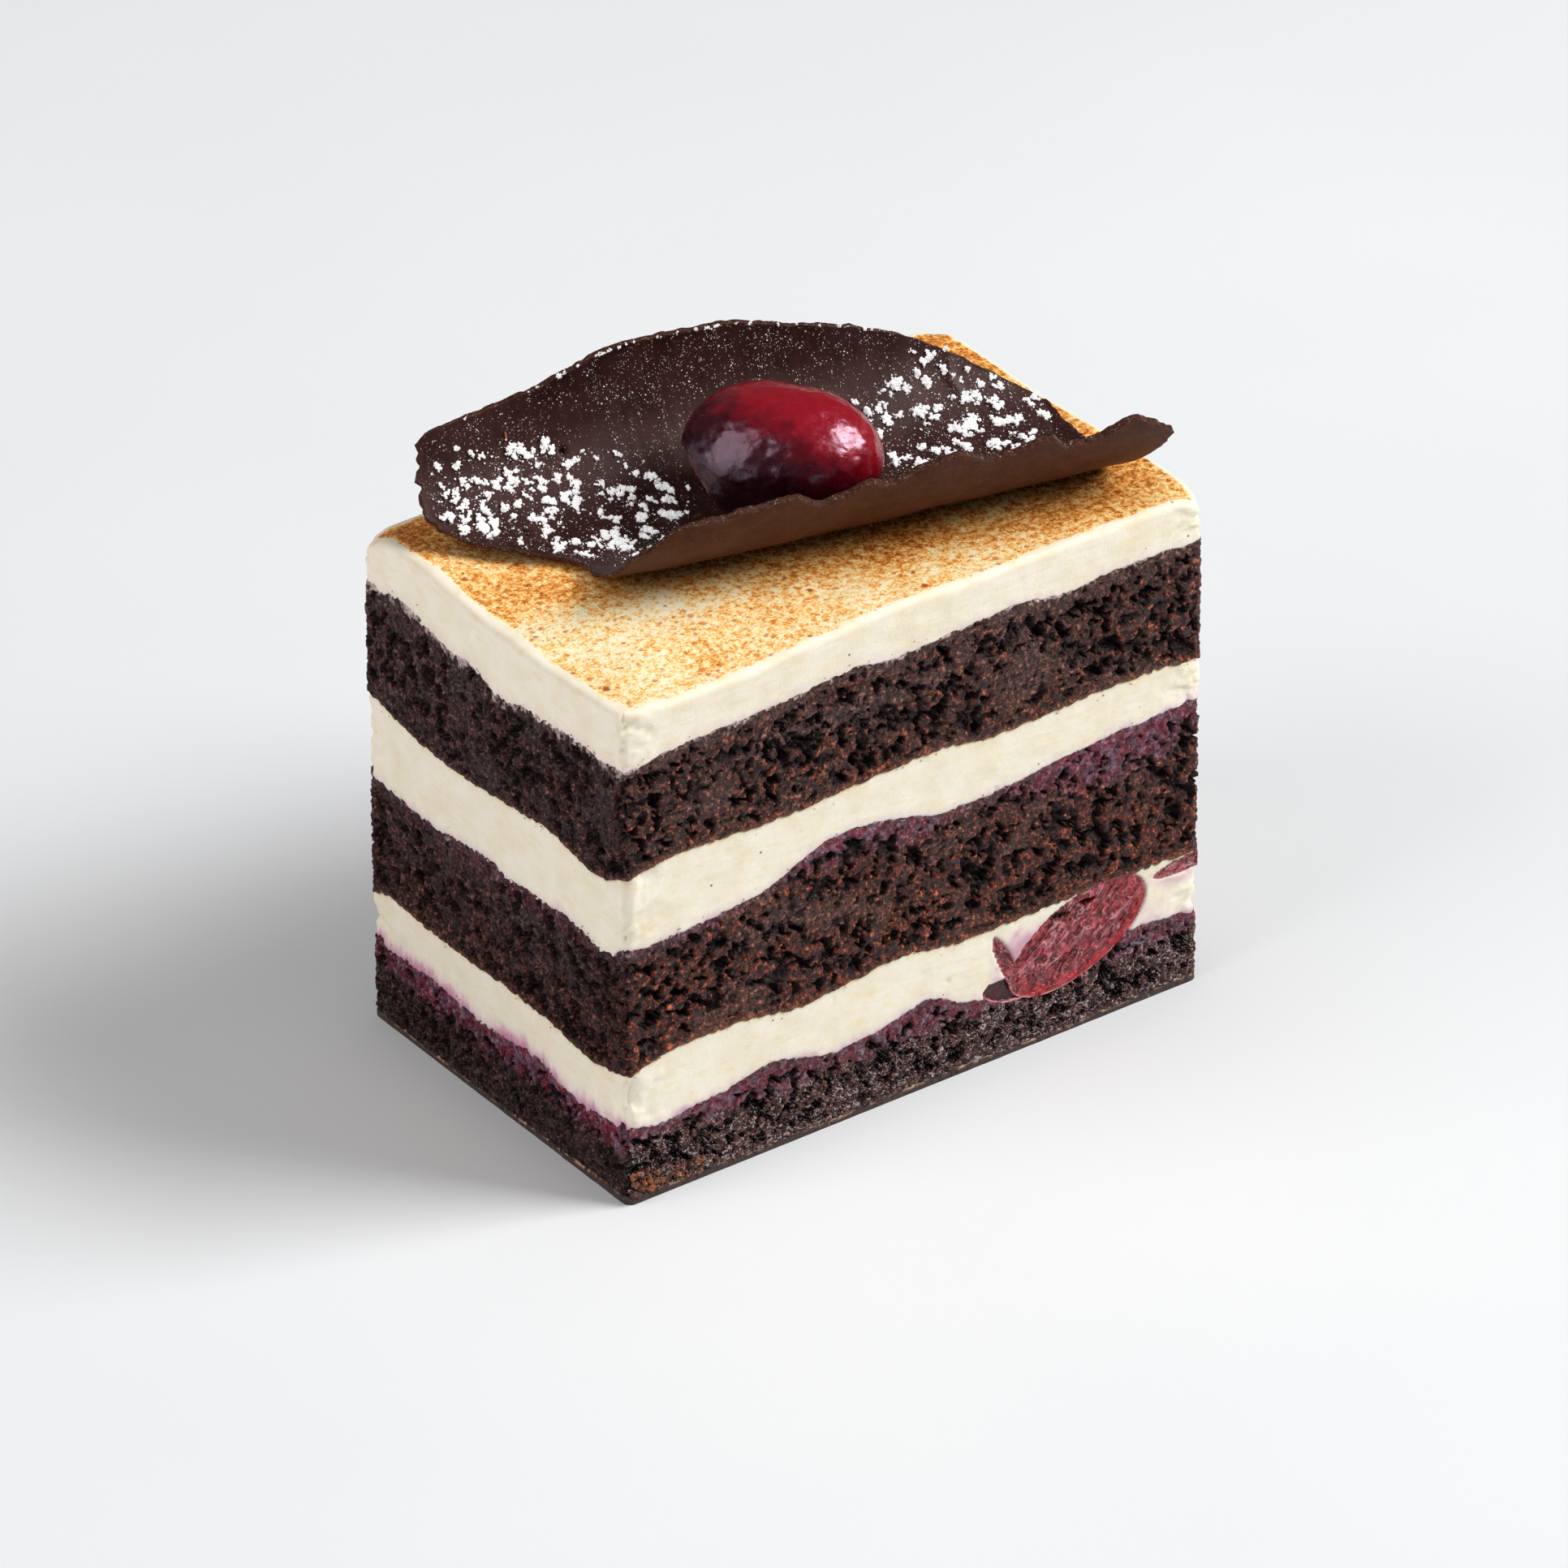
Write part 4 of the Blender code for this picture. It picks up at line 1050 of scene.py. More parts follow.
def cream_depth(points, inward, under, seed):
    """Relief of a cream band: smooth with drag marks and pits, tucked in behind the sponge above it."""
    drag = fractal(points / [5.0, 5.0, 0.7], 3, seed, 0.6)
    pits = voids(warped(points, 0.7, 0.12, seed + 1), inward, 3.2, 0.10, (0.20, 0.5), seed + 2)
    pits = pits * (np.abs(inward[..., :2]).max(axis=-1) > 0.999)
    depth = 0.18 + 0.06 * drag + 0.10 * fractal(points / 3.0, 2, seed + 3) + np.minimum(pits, 0.16)
    depth += corner_wear(points, seed + 30)
    depth = np.maximum(depth, 0.02)
    return depth + 0.06 * (1.0 - smooth_step(under, 0.0, 0.6)) + 1.6 * smooth_step(-under, 0.0, 0.3)


def toothed_edge(seam, plan, seed):
    """Height of a cream's lower edge, with the small teeth and smears that the knife dragged down."""
    edge = on_ground(plan)
    teeth = 0.32 * fractal(edge / 0.6, 3, seed + 11, 0.65) + 0.30 * fractal(edge / 3.0, 2, seed + 12)
    teeth -= 1.1 * smooth_step(-plan[:, 0], 44.0, 45.4) * np.abs(fractal(edge / 0.9, 3, seed + 13, 0.6))
    return seam_height(seam, plan) + teeth


# Where the cream is pink besides.
BLUSHES = [
    ("front", (18.0, 13.0), (5.5, 5.5), 0.85),
    ("front", (29.0, 12.5), (10.0, 7.5), 0.62),
    ("front", (42.0, 17.4), (6.0, 2.4), 0.5),
]


def pinkness(seam, over, points, outs, seed):
    """How pink the cream is, at its foot and in its blushes."""
    strength, reach = along_seam(PINK[seam], outs)
    uneven = np.clip(strength * (0.7 + 0.6 * fractal(points / [4.0, 4.0, 9.0], 2, seed)), 0, 1)
    ragged = over + 0.9 * fractal(points / [1.0, 1.0, 1.6], 3, seed + 1)
    at_foot = uneven * (1.0 - smooth_step(ragged, 0.0, reach))
    return np.maximum(patches(BLUSHES, points, outs, 2.0, 81), at_foot)


def make_cream(name, node, below, above, look, seed):
    """A band of cream between two seams, whose top runs on behind the ragged edge of the sponge."""
    feet, outs, _ = block_columns(CREAM_PITCH)
    plan = feet + outs * CORNER_RADIUS
    low, high = toothed_edge(below, plan, seed), seam_height(above, plan)
    rows = int(np.ceil((high - low).max() / CREAM_PITCH)) + 3
    heights = low + np.linspace(0, 1, rows)[:, None] * (high - low + TUCK)
    points, inward = lattice(feet, outs, heights)
    over, under = heights - low, ragged_edge(above, plan) - heights
    depth = np.maximum(cream_depth(points, inward, under, seed), fruit_beds(points, inward))
    facing = np.broadcast_to(outs, points.shape[:-1] + (2,))
    ragged = fractal(points / 1.1, 3, seed + 5)
    values = {
        "seam": np.exp(-np.maximum(under + 0.3 * ragged, 0.0) / 0.55),
        "blush": pinkness(below, over, points, facing, seed + 20),
    }
    heights, depth, values = turn_in(heights, depth, values, CREAM_FOOT)
    return keep(wrap(name, feet, outs, heights, depth, look, values), "cream", node)


TOAST_EDGE = {"left": -43.9, "right": 44.8, "front": -27.6, "back": 27.2}
EDGE_ROUND = 0.9
RIM_TURNS = [22.5, 45.0, 67.5]


def toast_and_shade_amount(x, y, points):
    """How far the top is browned, with painted shade under and before the sheet: most by the sheet, less well
    before it, and not at all along the edges.
    """
    ragged = 0.7 * fractal(points / 2.6, 3, 340, 0.6)
    reach = np.minimum(
        np.minimum(x - TOAST_EDGE["left"], TOAST_EDGE["right"] - x),
        np.minimum(y - TOAST_EDGE["front"], TOAST_EDGE["back"] - y),
    )
    turn = math.radians(SHEET_HEADING)
    before_sheet = (SHEET_MIDDLE[1] - y) * math.cos(turn) + (x - SHEET_MIDDLE[0]) * math.sin(turn)
    # Painted shade: the top is browned further under and just before the sheet, where the sheet shades it.
    shaded = 10.0 + 8.0 * smooth_step(x, -25.0, 5.0)
    brown_and_painted_shade = 0.9 * (1.0 - smooth_step(before_sheet, shaded - 6.0, shaded + 4.0))
    brown_and_painted_shade = brown_and_painted_shade + 0.05 * smooth_step(x / LENGTH, 0.1, 0.5)
    brown_and_painted_shade += 0.25 * np.exp(-(((x + 40.0) / 9.0) ** 2) - ((y - 22.0) / 9.0) ** 2)
    brown_and_painted_shade -= 0.4 * np.exp(-(((x + 38.0) / 10.0) ** 2) - ((y + 2.0) / 14.0) ** 2)
    return smooth_step(reach + ragged, -0.2, 0.6) * (0.64 + 0.4 * brown_and_painted_shade)


def grid_border(columns, rows):
    """Index of the grid point that each column of the block meets, in the order of block_columns()."""
    last = rows * columns - 1
    round_corner = CORNER_STEPS - 1
    return np.concatenate([
        np.arange(columns),
        np.full(round_corner, columns - 1),
        np.arange(rows) * columns + columns - 1,
        np.full(round_corner, last),
        np.arange(columns)[::-1] + last + 1 - columns,
        np.full(round_corner, last + 1 - columns),
        np.arange(rows)[::-1] * columns,
        np.full(round_corner, 0),
    ])


def make_cream_top(look):
    """The top band of cream and its toasted surface, as one closed shell."""
    feet, outs, steps = block_columns(TOP_PITCH)
    plan = feet + outs * CORNER_RADIUS
    count = len(feet)
    low = toothed_edge("top_cream_floor", plan, 301)
    high = crown_height(plan[:, 0], plan[:, 1]) - EDGE_ROUND
    rows = int(np.ceil((high - low).max() / TOP_PITCH)) + 3
    heights = low + np.linspace(0, 1, rows)[:, None] * (high - low)
    points, inward = lattice(feet, outs, heights)
    depth = within_corner(cream_depth(points, inward, np.full_like(heights, 9.0), 301), feet)
    turns = np.radians(RIM_TURNS)[:, None]
    rim_depth = depth[-1:] + (CORNER_RADIUS - depth[-1:]) * (1.0 - np.cos(turns))
    heights = np.concatenate([heights, high + EDGE_ROUND * np.sin(turns)])
    heights, depth, _ = turn_in(heights, np.concatenate([depth, rim_depth]), {}, CREAM_FOOT)
    side_plan = feet + outs * (CORNER_RADIUS - within_corner(depth, feet)[..., None])
    side = np.concatenate([side_plan, heights[..., None]], axis=-1)
    side_rows = len(heights)

    columns, grid_rows = steps[0] + 1, steps[1] + 1
    xs = np.linspace(-INNER_HALF[0], INNER_HALF[0], columns)
    ys = np.linspace(-INNER_HALF[1], INNER_HALF[1], grid_rows)
    grid_x, grid_y = np.meshgrid(xs, ys)
    flat_points = np.stack([grid_x, grid_y, 0 * grid_x], axis=-1)
    spot = spots(warped(flat_points, 0.7, 0.22, 320), 1.8, 0.75, (0.22, 0.62), 321)
    relief = 0.16 * smooth_step(spot, 0.2, 0.8) + 0.07 * fractal(flat_points / 1.1, 3, 330, 0.6)
    inset = np.minimum(INNER_HALF[0] - np.abs(grid_x), INNER_HALF[1] - np.abs(grid_y))
    level = crown_height(grid_x, grid_y) - relief * smooth_step(inset, 0.0, 1.0)
    top = np.stack([grid_x, grid_y, level], axis=-1)

    side_count = side_rows * count
    border = grid_border(columns, grid_rows) + side_count
    last_ring = np.arange(count) + side_count - count
    after, border_after = np.roll(last_ring, -1), np.roll(border, -1)
    same = border == border_after
    quads = np.stack([last_ring, after, border_after, border], axis=-1)[~same]
    corners = np.stack([last_ring, after, border], axis=-1)[same]
    everything = np.concatenate([side.reshape(-1, 3), top.reshape(-1, 3), [[0, 0, low.mean()]]])
    faces = [
        ring_faces(side_rows, count),
        grid_faces(grid_rows, columns, side_count),
        quads,
        corners,
        fan_faces(np.arange(count), len(everything) - 1, False),
    ]
    facing = np.broadcast_to(outs, side.shape[:-1] + (2,))
    blush = pinkness("top_cream_floor", heights - low, side, facing, 320)
    toast_and_shade = toast_and_shade_amount(grid_x, grid_y, flat_points)
    values = {
        "seam": np.zeros(len(everything)),
        "blush": np.concatenate([blush.ravel(), np.zeros(toast_and_shade.size + 1)]),
        "toast_and_shade": np.concatenate([np.zeros(side_count), toast_and_shade.ravel(), [0.0]]),
    }
    band = build_mesh("toasted_top_cream", everything, faces, look, values)
    return keep(band, "toasted_cream", "cream_top")


def make_base(look):
    """The thin coat of chocolate under the cake, with a broken upper edge."""
    feet, outs, _ = block_columns(BASE_PITCH)
    plan = feet + outs * CORNER_RADIUS
    edge = on_ground(plan)
    high = seam_height("coat", plan)
    high += 0.22 * fractal(edge / 1.6, 3, 401, 0.6) + 0.15 * fractal(edge / 6.0, 2, 402)
    share = np.linspace(0, 1, BASE_ROWS)[:, None]
    heights = share * high
    points, _ = lattice(feet, outs, heights)
    cracks = smooth_step(np.abs(fractal(edge / [1.9, 1.9, 1.0], 3, 405)), 0.05, 0.0)
    depth = 0.12 + 0.06 * fractal(points / 2.5, 3, 403) + 0.25 * cracks * smooth_step(share, 0.1, 0.6)
    depth += 0.14 * smooth_step(share, 0.8, 1.0)
    tan = np.clip(smooth_step(share, 0.45, 0.95) + 0.8 * cracks, 0, 1)
    heights, depth, values = turn_in(heights, depth, {"edge": tan}, (), BASE_HEAD)
    coat = wrap("chocolate_coat", feet, outs, heights, depth, look, values)
    return keep(coat, "chocolate", "chocolate_base")


# ---------------------------------------------------------------- the chocolate sheet


def sheet_patch(a, t):
    """(along, degrees) at a share a of the length and t of the way from the lip to the back rim."""
    lip_along = LIP_RIM[0][0] + a * (LIP_RIM[-1][0] - LIP_RIM[0][0])
    back_along = BACK_RIM[0][0] + a * (BACK_RIM[-1][0] - BACK_RIM[0][0])
    left_turn = LEFT_END[0][0] + t * (LEFT_END[-1][0] - LEFT_END[0][0])
    right_turn = RIGHT_END[0][0] + t * (RIGHT_END[-1][0] - RIGHT_END[0][0])
    lip = np.stack(np.broadcast_arrays(lip_along, curve(LIP_RIM, lip_along)), axis=-1)
    back = np.stack(np.broadcast_arrays(back_along, curve(BACK_RIM, back_along)), axis=-1)
    left = np.stack(np.broadcast_arrays(curve(LEFT_END, left_turn), left_turn), axis=-1)
    right = np.stack(np.broadcast_arrays(curve(RIGHT_END, right_turn), right_turn), axis=-1)
    a, t = np.asarray(a)[..., None], np.asarray(t)[..., None]
    corners = (
        (1 - a) * (1 - t) * np.array(LIP_RIM[0])
        + a * (1 - t) * np.array(LIP_RIM[-1])
        + (1 - a) * t * np.array(BACK_RIM[0])
        + a * t * np.array(BACK_RIM[-1])
    )
    return (1 - t) * lip + t * back + (1 - a) * left + a * right - corners


def on_sheet(along, degrees, radius):
    """Points of the bend, in the sheet's own frame."""
    angle = np.radians(degrees)
    parts = np.broadcast_arrays(along, radius * np.sin(angle), SHEET_RADIUS - radius * np.cos(angle))
    return np.stack(parts, axis=-1)


def to_world(matrix, points):
    """Points, turned and moved by a matrix."""
    turn = np.array(matrix.to_3x3())
    return points @ turn.T + np.array(matrix.to_translation())


def sheet_ripple(along, degrees):
    """The solid's own ripple."""
    rise = smooth_step(np.abs(degrees) / RIPPLE_FROM)
    flat = np.array([noise.noise(Vector((p / RIPPLE_GRAIN[0], q / RIPPLE_GRAIN[1], 0.0)))
                     for p, q in zip(along.ravel(), degrees.ravel())])
    return SHEET_RIPPLE * rise * flat.reshape(along.shape)


# Marks on the sheet, as (along, degrees) and a size: burst bubbles, loose flakes, a groove and a ridge.
BUBBLES = [(-23.7, 53.0, 0.6), (-32.2, 22.0, 0.6)]
BUBBLE_DEPTH = 0.6
FLAKES = [(-30.7, 64.0, 0.65), (-27.8, 26.0, 0.4), (-35.1, 64.5, 0.35), (-10.2, 31.0, 0.3)]
GROOVE = [(40.3, 34.0), (41.0, 24.0), (40.1, 12.0)]
RIDGE = [(30.4, 55.0), (29.8, 48.0), (30.2, 41.0)]
RIM_ROWS = 4


def mark_along(path, along, degrees, width):
    """1 on a short line drawn over the sheet, falling to 0 beside it."""
    turns = [turn for _, turn in path]
    middle = curve(sorted((turn, place) for place, turn in path), degrees)
    ends = smooth_step(degrees, min(turns) - 6.0, min(turns) + 2.0)
    ends = ends * smooth_step(-degrees, -max(turns) - 6.0, 2.0 - max(turns))
    return np.exp(-(((along - middle) / width) ** 2)) * ends


def make_curl(look):
    """The bent sheet: an inner and an outer face, and a broken rim between them."""
    a, t = np.meshgrid(*(np.linspace(0, 1, steps + 1) for steps in SHEET_STEPS), indexing="ij")
    flat = sheet_patch(a, t)
    along, degrees = flat[..., 0], flat[..., 1]
    millimetres = np.stack([along, np.radians(degrees) * SHEET_RADIUS, 0 * along], axis=-1)
    jag = fractal(millimetres / [2.6, 2.6, 1.0], 4, 501, 0.62)
    near_lip, near_back = 1.0 - smooth_step(t, 0, 0.03), smooth_step(t, 0.97, 1.0)
    near_left, near_right = 1.0 - smooth_step(a, 0, 0.02), smooth_step(a, 0.98, 1.0)
    chips = fractal(millimetres / 0.9, 2, 502, 0.6)
    degrees = degrees + (jag + 0.5 * chips) * (1.5 * near_lip - 1.0 * near_back)
    along = along + (jag + 0.9 * chips) * (0.6 * near_left - 0.45 * near_right)
    ripple = sheet_ripple(along, degrees)
    drag = fractal(millimetres / [0.9, 9.0, 1.0], 3, 510, 0.6)
    grain = fractal(millimetres / [6.0, 0.8, 1.0], 3, 511, 0.6)
    hollow = np.zeros_like(along)
    for x, y, size in BUBBLES:
        away = np.hypot(along - x, np.radians(degrees - y) * SHEET_RADIUS)
        hollow = np.maximum(hollow, BUBBLE_DEPTH * (1.0 - smooth_step(away / size, 0.5, 1.0)))
    painted_hole_shade = hollow / BUBBLE_DEPTH
    hollow += 0.30 * mark_along(GROOVE, along, degrees, 0.55) - 0.22 * mark_along(RIDGE, along, degrees, 0.7)
    middle = SHEET_RADIUS - SHEET_THICKNESS / 2 + ripple
    half = SHEET_THICKNESS / 2
    thinner = 0.62 * (1.0 - smooth_step(a, 0.0, 0.12)) + 0.30 * (1.0 - smooth_step(1.0 - t, 0.0, 0.10))
    inner = on_sheet(along, degrees, middle - half + 0.02 * drag + hollow)
    outer = on_sheet(along, degrees, middle + half + 0.02 * grain - np.minimum(thinner, 0.66))
    world = sheet_frame()
    rows, columns = along.shape
    size = rows * columns
    inner, outer = to_world(world, inner).reshape(-1, 3), to_world(world, outer).reshape(-1, 3)
    index = np.arange(size).reshape(rows, columns)
    loop = np.concatenate([index[:, 0], index[-1, 1:], index[-2::-1, -1], index[0, -2:0:-1]])
    beside = np.concatenate([index[:, 1], index[-2, 1:], index[-2::-1, -2], index[1, -2:0:-1]])
    outward = outer[loop] - outer[beside]
    outward /= np.maximum(np.linalg.norm(outward, axis=1, keepdims=True), 1e-9)
    share = np.linspace(0, 1, RIM_ROWS + 2)[:, None, None]
    broken = outer[loop] * (1 - share) + inner[loop] * share
    crumble = 0.14 * fractal(broken / 0.7, 3, 520, 0.65) - 0.05
    crumble[[0, -1]] = 0.0
    broken = broken + outward * crumble[..., None]
    points = np.concatenate([outer, inner, broken[1:-1].reshape(-1, 3)])
    count = len(loop)
    after = np.roll(np.arange(count), -1)
    rings = [loop, *(2 * size + row * count + np.arange(count) for row in range(RIM_ROWS)), loop + size]
    rim_faces = np.concatenate([np.stack([near, far, far[after], near[after]], axis=-1)
                                for near, far in zip(rings[:-1], rings[1:])])
    faces = [grid_faces(rows, columns, 0), grid_faces(rows, columns, size, True), rim_faces[:, ::-1]]
    hard = np.concatenate([np.zeros(2 * (rows - 1) * (columns - 1), bool), np.ones(len(rim_faces), bool)])
    edge = np.clip(np.maximum(np.maximum(near_lip, near_back), np.maximum(near_left, near_right)), 0, 1)
    edge = smooth_step(edge + 0.3 * jag, 0.80, 1.0).ravel()
    rim = np.ones(RIM_ROWS * count)
    powder = np.exp(-((along / 30.0) ** 2) - ((degrees - 84.0) / 22.0) ** 2)
    powder = powder + 0.5 * smooth_step(degrees, -30.0, 0.0)
    values = {
        "inside": np.concatenate([np.zeros(size), np.ones(size), 0 * rim]),
        "dust": np.concatenate([0 * edge, np.clip(powder, 0.0, 1.0).ravel(), 0.5 * rim]),
        "rim": np.concatenate([0.5 * edge, 0.5 * edge, rim]),
        "drag": np.concatenate([(0.5 + 0.5 * grain).ravel(), (0.5 + 0.5 * drag).ravel(), 0 * rim]),
        # Painted shade in the burst bubbles.
        "painted_hole_shade": np.concatenate([0 * painted_hole_shade.ravel(), 0.9 * smooth_step(painted_hole_shade.ravel(), 0.3, 0.8), 0 * rim]),
    }
    curl = build_mesh("bent_chocolate_sheet", points, faces, look, values, hard)
    return keep(curl, "chocolate", "chocolate_curl")


# ---------------------------------------------------------------- icing sugar


def in_drift(along, degrees):
    """The solid's own rule for where a clump may lie: the chance at a place of the sheet."""
    best = 0.0
    for middle, turn, half_length, half_width in DRIFTS:
        away = math.hypot((along - middle) / half_length, (degrees - turn) / half_width)
        best = max(best, 1.0 - away * away)
    return best


def cherry_matrix(shift=(0.0, 0.0, 0.0)):
    turn = Matrix.Rotation(math.radians(CHERRY_HEADING), 4, "Z")
    return Matrix.Translation(Vector(CHERRY_PLACE) + Vector(shift)) @ turn


def clear_of_cherry(point, radius, place, room=0.6):
    """Whether a lump of this radius stays clear of the cherry."""
    local = place.inverted() @ Vector(point)
    half = Vector((CHERRY_TIP_LENGTH, CHERRY_HALF_WIDTH, CHERRY_HALF_HEIGHT))
    return sum((local[i] / (half[i] + radius + room)) ** 2 for i in range(3)) > 1.0


def settled_cherry():
    """The cherry's place in the sheet's frame: the solid's, moved along its radius to clear the bend."""
    ball, _ = icosphere(4)
    local, _, _ = cherry_form(ball)
    points = to_world(cherry_matrix(), local)
    inner = SHEET_RADIUS - SHEET_THICKNESS - SHEET_RIPPLE - SHEET_CLEARANCE
    reach = np.hypot(points[:, 1], SHEET_RADIUS - points[:, 2]).max()
    towards = Vector((0.0, -CHERRY_PLACE[1], SHEET_RADIUS - CHERRY_PLACE[2])).normalized()
    return cherry_matrix(towards * (reach - inner))


def icosphere(level):
    """Points of a unit ball and the triangles between them."""
    bm = bmesh.new()
    bmesh.ops.create_icosphere(bm, subdivisions=level, radius=1.0)
    points = np.array([vert.co for vert in bm.verts])
    faces = np.array([[vert.index for vert in face.verts] for face in bm.faces])
    bm.free()
    return points, faces


class Heap:
    """Many small lumps, joined as one mesh."""

    SHAPES = 24

    def __init__(self):
        self.points, self.faces, self.values, self.count = [], [], [], 0
        self.forms = {}
        for level in (1, 2, 3):
            ball, faces = icosphere(level)
            bumps = [fractal(ball * 1.5 + 3.7 * shape, 3, shape, 0.65) for shape in range(self.SHAPES)]
            self.forms[level] = (ball, np.array(bumps)[..., None], faces)

    def lump(self, place, size, level, shape, rough=0.35, squash=(1.0, 1.0, 1.0), turn=None, value=0.0):
        ball, bumps, faces = self.forms[level]
        form = ball * (1.0 + rough * bumps[shape % self.SHAPES]) * np.array(squash) * size
        if turn is not None:
            form = form @ np.array(turn.to_3x3()).T
        self.points.append(form + np.asarray(place))
        self.faces.append(faces + self.count)
        self.values.append(np.full(len(ball), value))
        self.count += len(ball)

    def build(self, name, look, key="tint", flat=False):
        values = {key: np.concatenate(self.values)}
        return build_mesh(name, np.concatenate(self.points), [np.concatenate(self.faces)], look, values, flat)


def sugar_density(along, degrees):
    """How much sugar has fallen at a place of the sheet."""
    turn = degrees - 20.0 - 1.1 * max(-22.0 - along, 0.0)
    left = 1.0 - math.hypot((along + 27.0) / 18.5, turn / 36.0) ** 2
    right = 1.0 - math.hypot((along - 27.5) / 14.5, (degrees - 28.0) / 34.0) ** 2
    return min(2.5 * max(left, 0.0), 1.0) + min(1.6 * max(right, 0.0), 0.62)


def dust_density(along, degrees):
    """How much of it lies as fine dust, most of all high on the back."""
    back = math.exp(-((along / 24.0) ** 2) - ((degrees - 82.0) / 20.0) ** 2)
    left_rim = math.exp(-(((along + 41.0) / 6.0) ** 2) - ((degrees - 62.0) / 24.0) ** 2)
    streaks = 0.5 + 1.6 * noise.noise(Vector((along / 1.3, degrees / 16.0, 5.0)))
    return max(streaks, 0.0) * (0.16 + 0.4 * sugar_density(along, degrees) + 1.1 * back + 0.8 * left_rim)


def mixed_density(along, degrees):
    """How much of it lies as small grains."""
    return 0.25 * dust_density(along, degrees) + 0.6 * sugar_density(along, degrees)


# Sugar that fell: how many, their sizes and the power of its draw, where, and how many grains each has.
SHOWERS = [
    (240, (0.16, 0.28), 1.0, sugar_density, (5, 34)),
    (260, (0.08, 0.20), 1.5, sugar_density, (1, 1)),
    (800, (0.05, 0.13), 1.3, mixed_density, (1, 1)),
    (1800, (0.025, 0.07), 1.4, dust_density, (1, 1)),
]
RIM_CLUSTERS = 34


def make_sugar(look, cherry_place):
    """Grains on the sheet: in heaps where the solid has its clumps, and scattered round them."""
    heap = Heap()
    draw = random.Random(CLUMP_SEED)
    inner = SHEET_RADIUS - SHEET_THICKNESS
    world = sheet_frame()
    scatter = random.Random(CLUMP_SEED + 1)

    def drop(along, degrees, size, rough=0.6, squash=(1.0, 0.85, 0.8), rise=0.0):
        """One grain, lying on the sheet or on another grain."""
        level = 2 if size > 0.45 else 1
        point = on_sheet(along, degrees, inner - rise - size * (squash[2] - 0.45))
        lean = Matrix.Rotation(math.radians(degrees), 4, "X")
        turn = world.to_3x3().to_4x4() @ lean @ Matrix.Rotation(scatter.uniform(0, math.pi), 4, "Z")
        heap.lump(to_world(world, point), size, level, scatter.randrange(10**6), rough, squash, turn)

    def cluster(along, degrees, radius, grain, count):
        """A ragged heap of grains that cling to each other."""
        places = [(0.0, 0.0, 0.0)]
        while len(places) < count:
            x, y, rise = scatter.choice(places[-6:] if scatter.random() < 0.6 else places)
            turn, step = scatter.uniform(0, 2 * math.pi), scatter.uniform(0.8, 1.5) * grain
            x, y = x + step * math.cos(turn), y + step * math.sin(turn)
            if math.hypot(x, y) > radius:
                places.append((0.5 * x, 0.5 * y, 0.6 * grain))
                continue
            rise = min(max(rise + scatter.uniform(-0.8, 0.7) * grain, 0.0), 1.5 * grain)
            places.append((x, y, rise))
        for x, y, rise in places:
            size = grain * (0.45 + 0.85 * scatter.random() ** 1.5)
            drop(along + x, degrees + math.degrees(y / inner), size, rise=rise)

    made = 0
    while made < CLUMP_COUNT:
        a, t = draw.uniform(CLUMP_MARGIN, 1 - CLUMP_MARGIN), draw.uniform(CLUMP_MARGIN, 1 - CLUMP_MARGIN)
        along, degrees = sheet_patch(a, t)
        radius = draw.uniform(*CLUMP_RADIUS)
        point = on_sheet(along, degrees, inner + CLUMP_SINK * radius)
        draw.uniform(0.0, math.pi)
        if draw.random() > in_drift(along, degrees):
            continue
        if not clear_of_cherry(point, radius, cherry_place):
            continue
        draw.uniform(*CLUMP_WIDTH)
        made += 1
        cluster(along, degrees, radius, 0.25, round(24 * radius))

    def shower(count, sizes, power, density, grains):
        """Sugar that fell at random, thicker where there is more of it."""
        fallen = 0
        while fallen < count:
            a, t = scatter.uniform(0.015, 0.985), scatter.uniform(0.02, 0.98)
            along, degrees = sheet_patch(a, t)
            size = sizes[0] + (sizes[1] - sizes[0]) * scatter.random() ** power
            if degrees < -45 or scatter.random() > density(along, degrees):
                continue
            if not clear_of_cherry(on_sheet(along, degrees, inner), size, cherry_place, 0.15):
                continue
            if grains[1] > 1:
                cluster(along, degrees, 1.15, size, scatter.randint(*grains))
            else:
                drop(along, degrees, size)
            fallen += 1

    for showered in SHOWERS:
        shower(*showered)
    for _ in range(RIM_CLUSTERS):
        along = scatter.triangular(-40.0, 36.0, -14.0)
        size = scatter.uniform(0.09, 0.17)
        radius = scatter.uniform(0.3, 0.9)
        cluster(along, float(curve(BACK_RIM, along)) - 0.2, radius, size, scatter.randint(5, 16))
    sugar = heap.build("icing_sugar", look, flat=True)
    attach(sugar, "root")
    return sugar


# ---------------------------------------------------------------- cherries


def cherry_form(ball):
    """The whole cherry in its own frame, with its cut end, and how much each point belongs to the cut."""
    length = np.where(ball[:, 0] > 0, CHERRY_BUTT_LENGTH, CHERRY_TIP_LENGTH)
    power = 2.0 + 0.3 * smooth_step(-ball[:, 0], -0.2, 0.5)
    full = np.sum(np.abs(ball) ** power[:, None], axis=1) ** (-1.0 / power)
    half = np.tile([0.0, CHERRY_HALF_WIDTH, CHERRY_HALF_HEIGHT], (len(ball), 1))
    half[:, 0] = length
    points = ball * full[:, None] * half
    normal = np.array(CHERRY_CUT_NORMAL) / np.linalg.norm(CHERRY_CUT_NORMAL)
    beyond = points @ normal - CHERRY_CUT_DISTANCE
    cut = beyond > 0
    points = points - np.where(cut, beyond, 0.0)[:, None] * normal
    return points, cut, normal


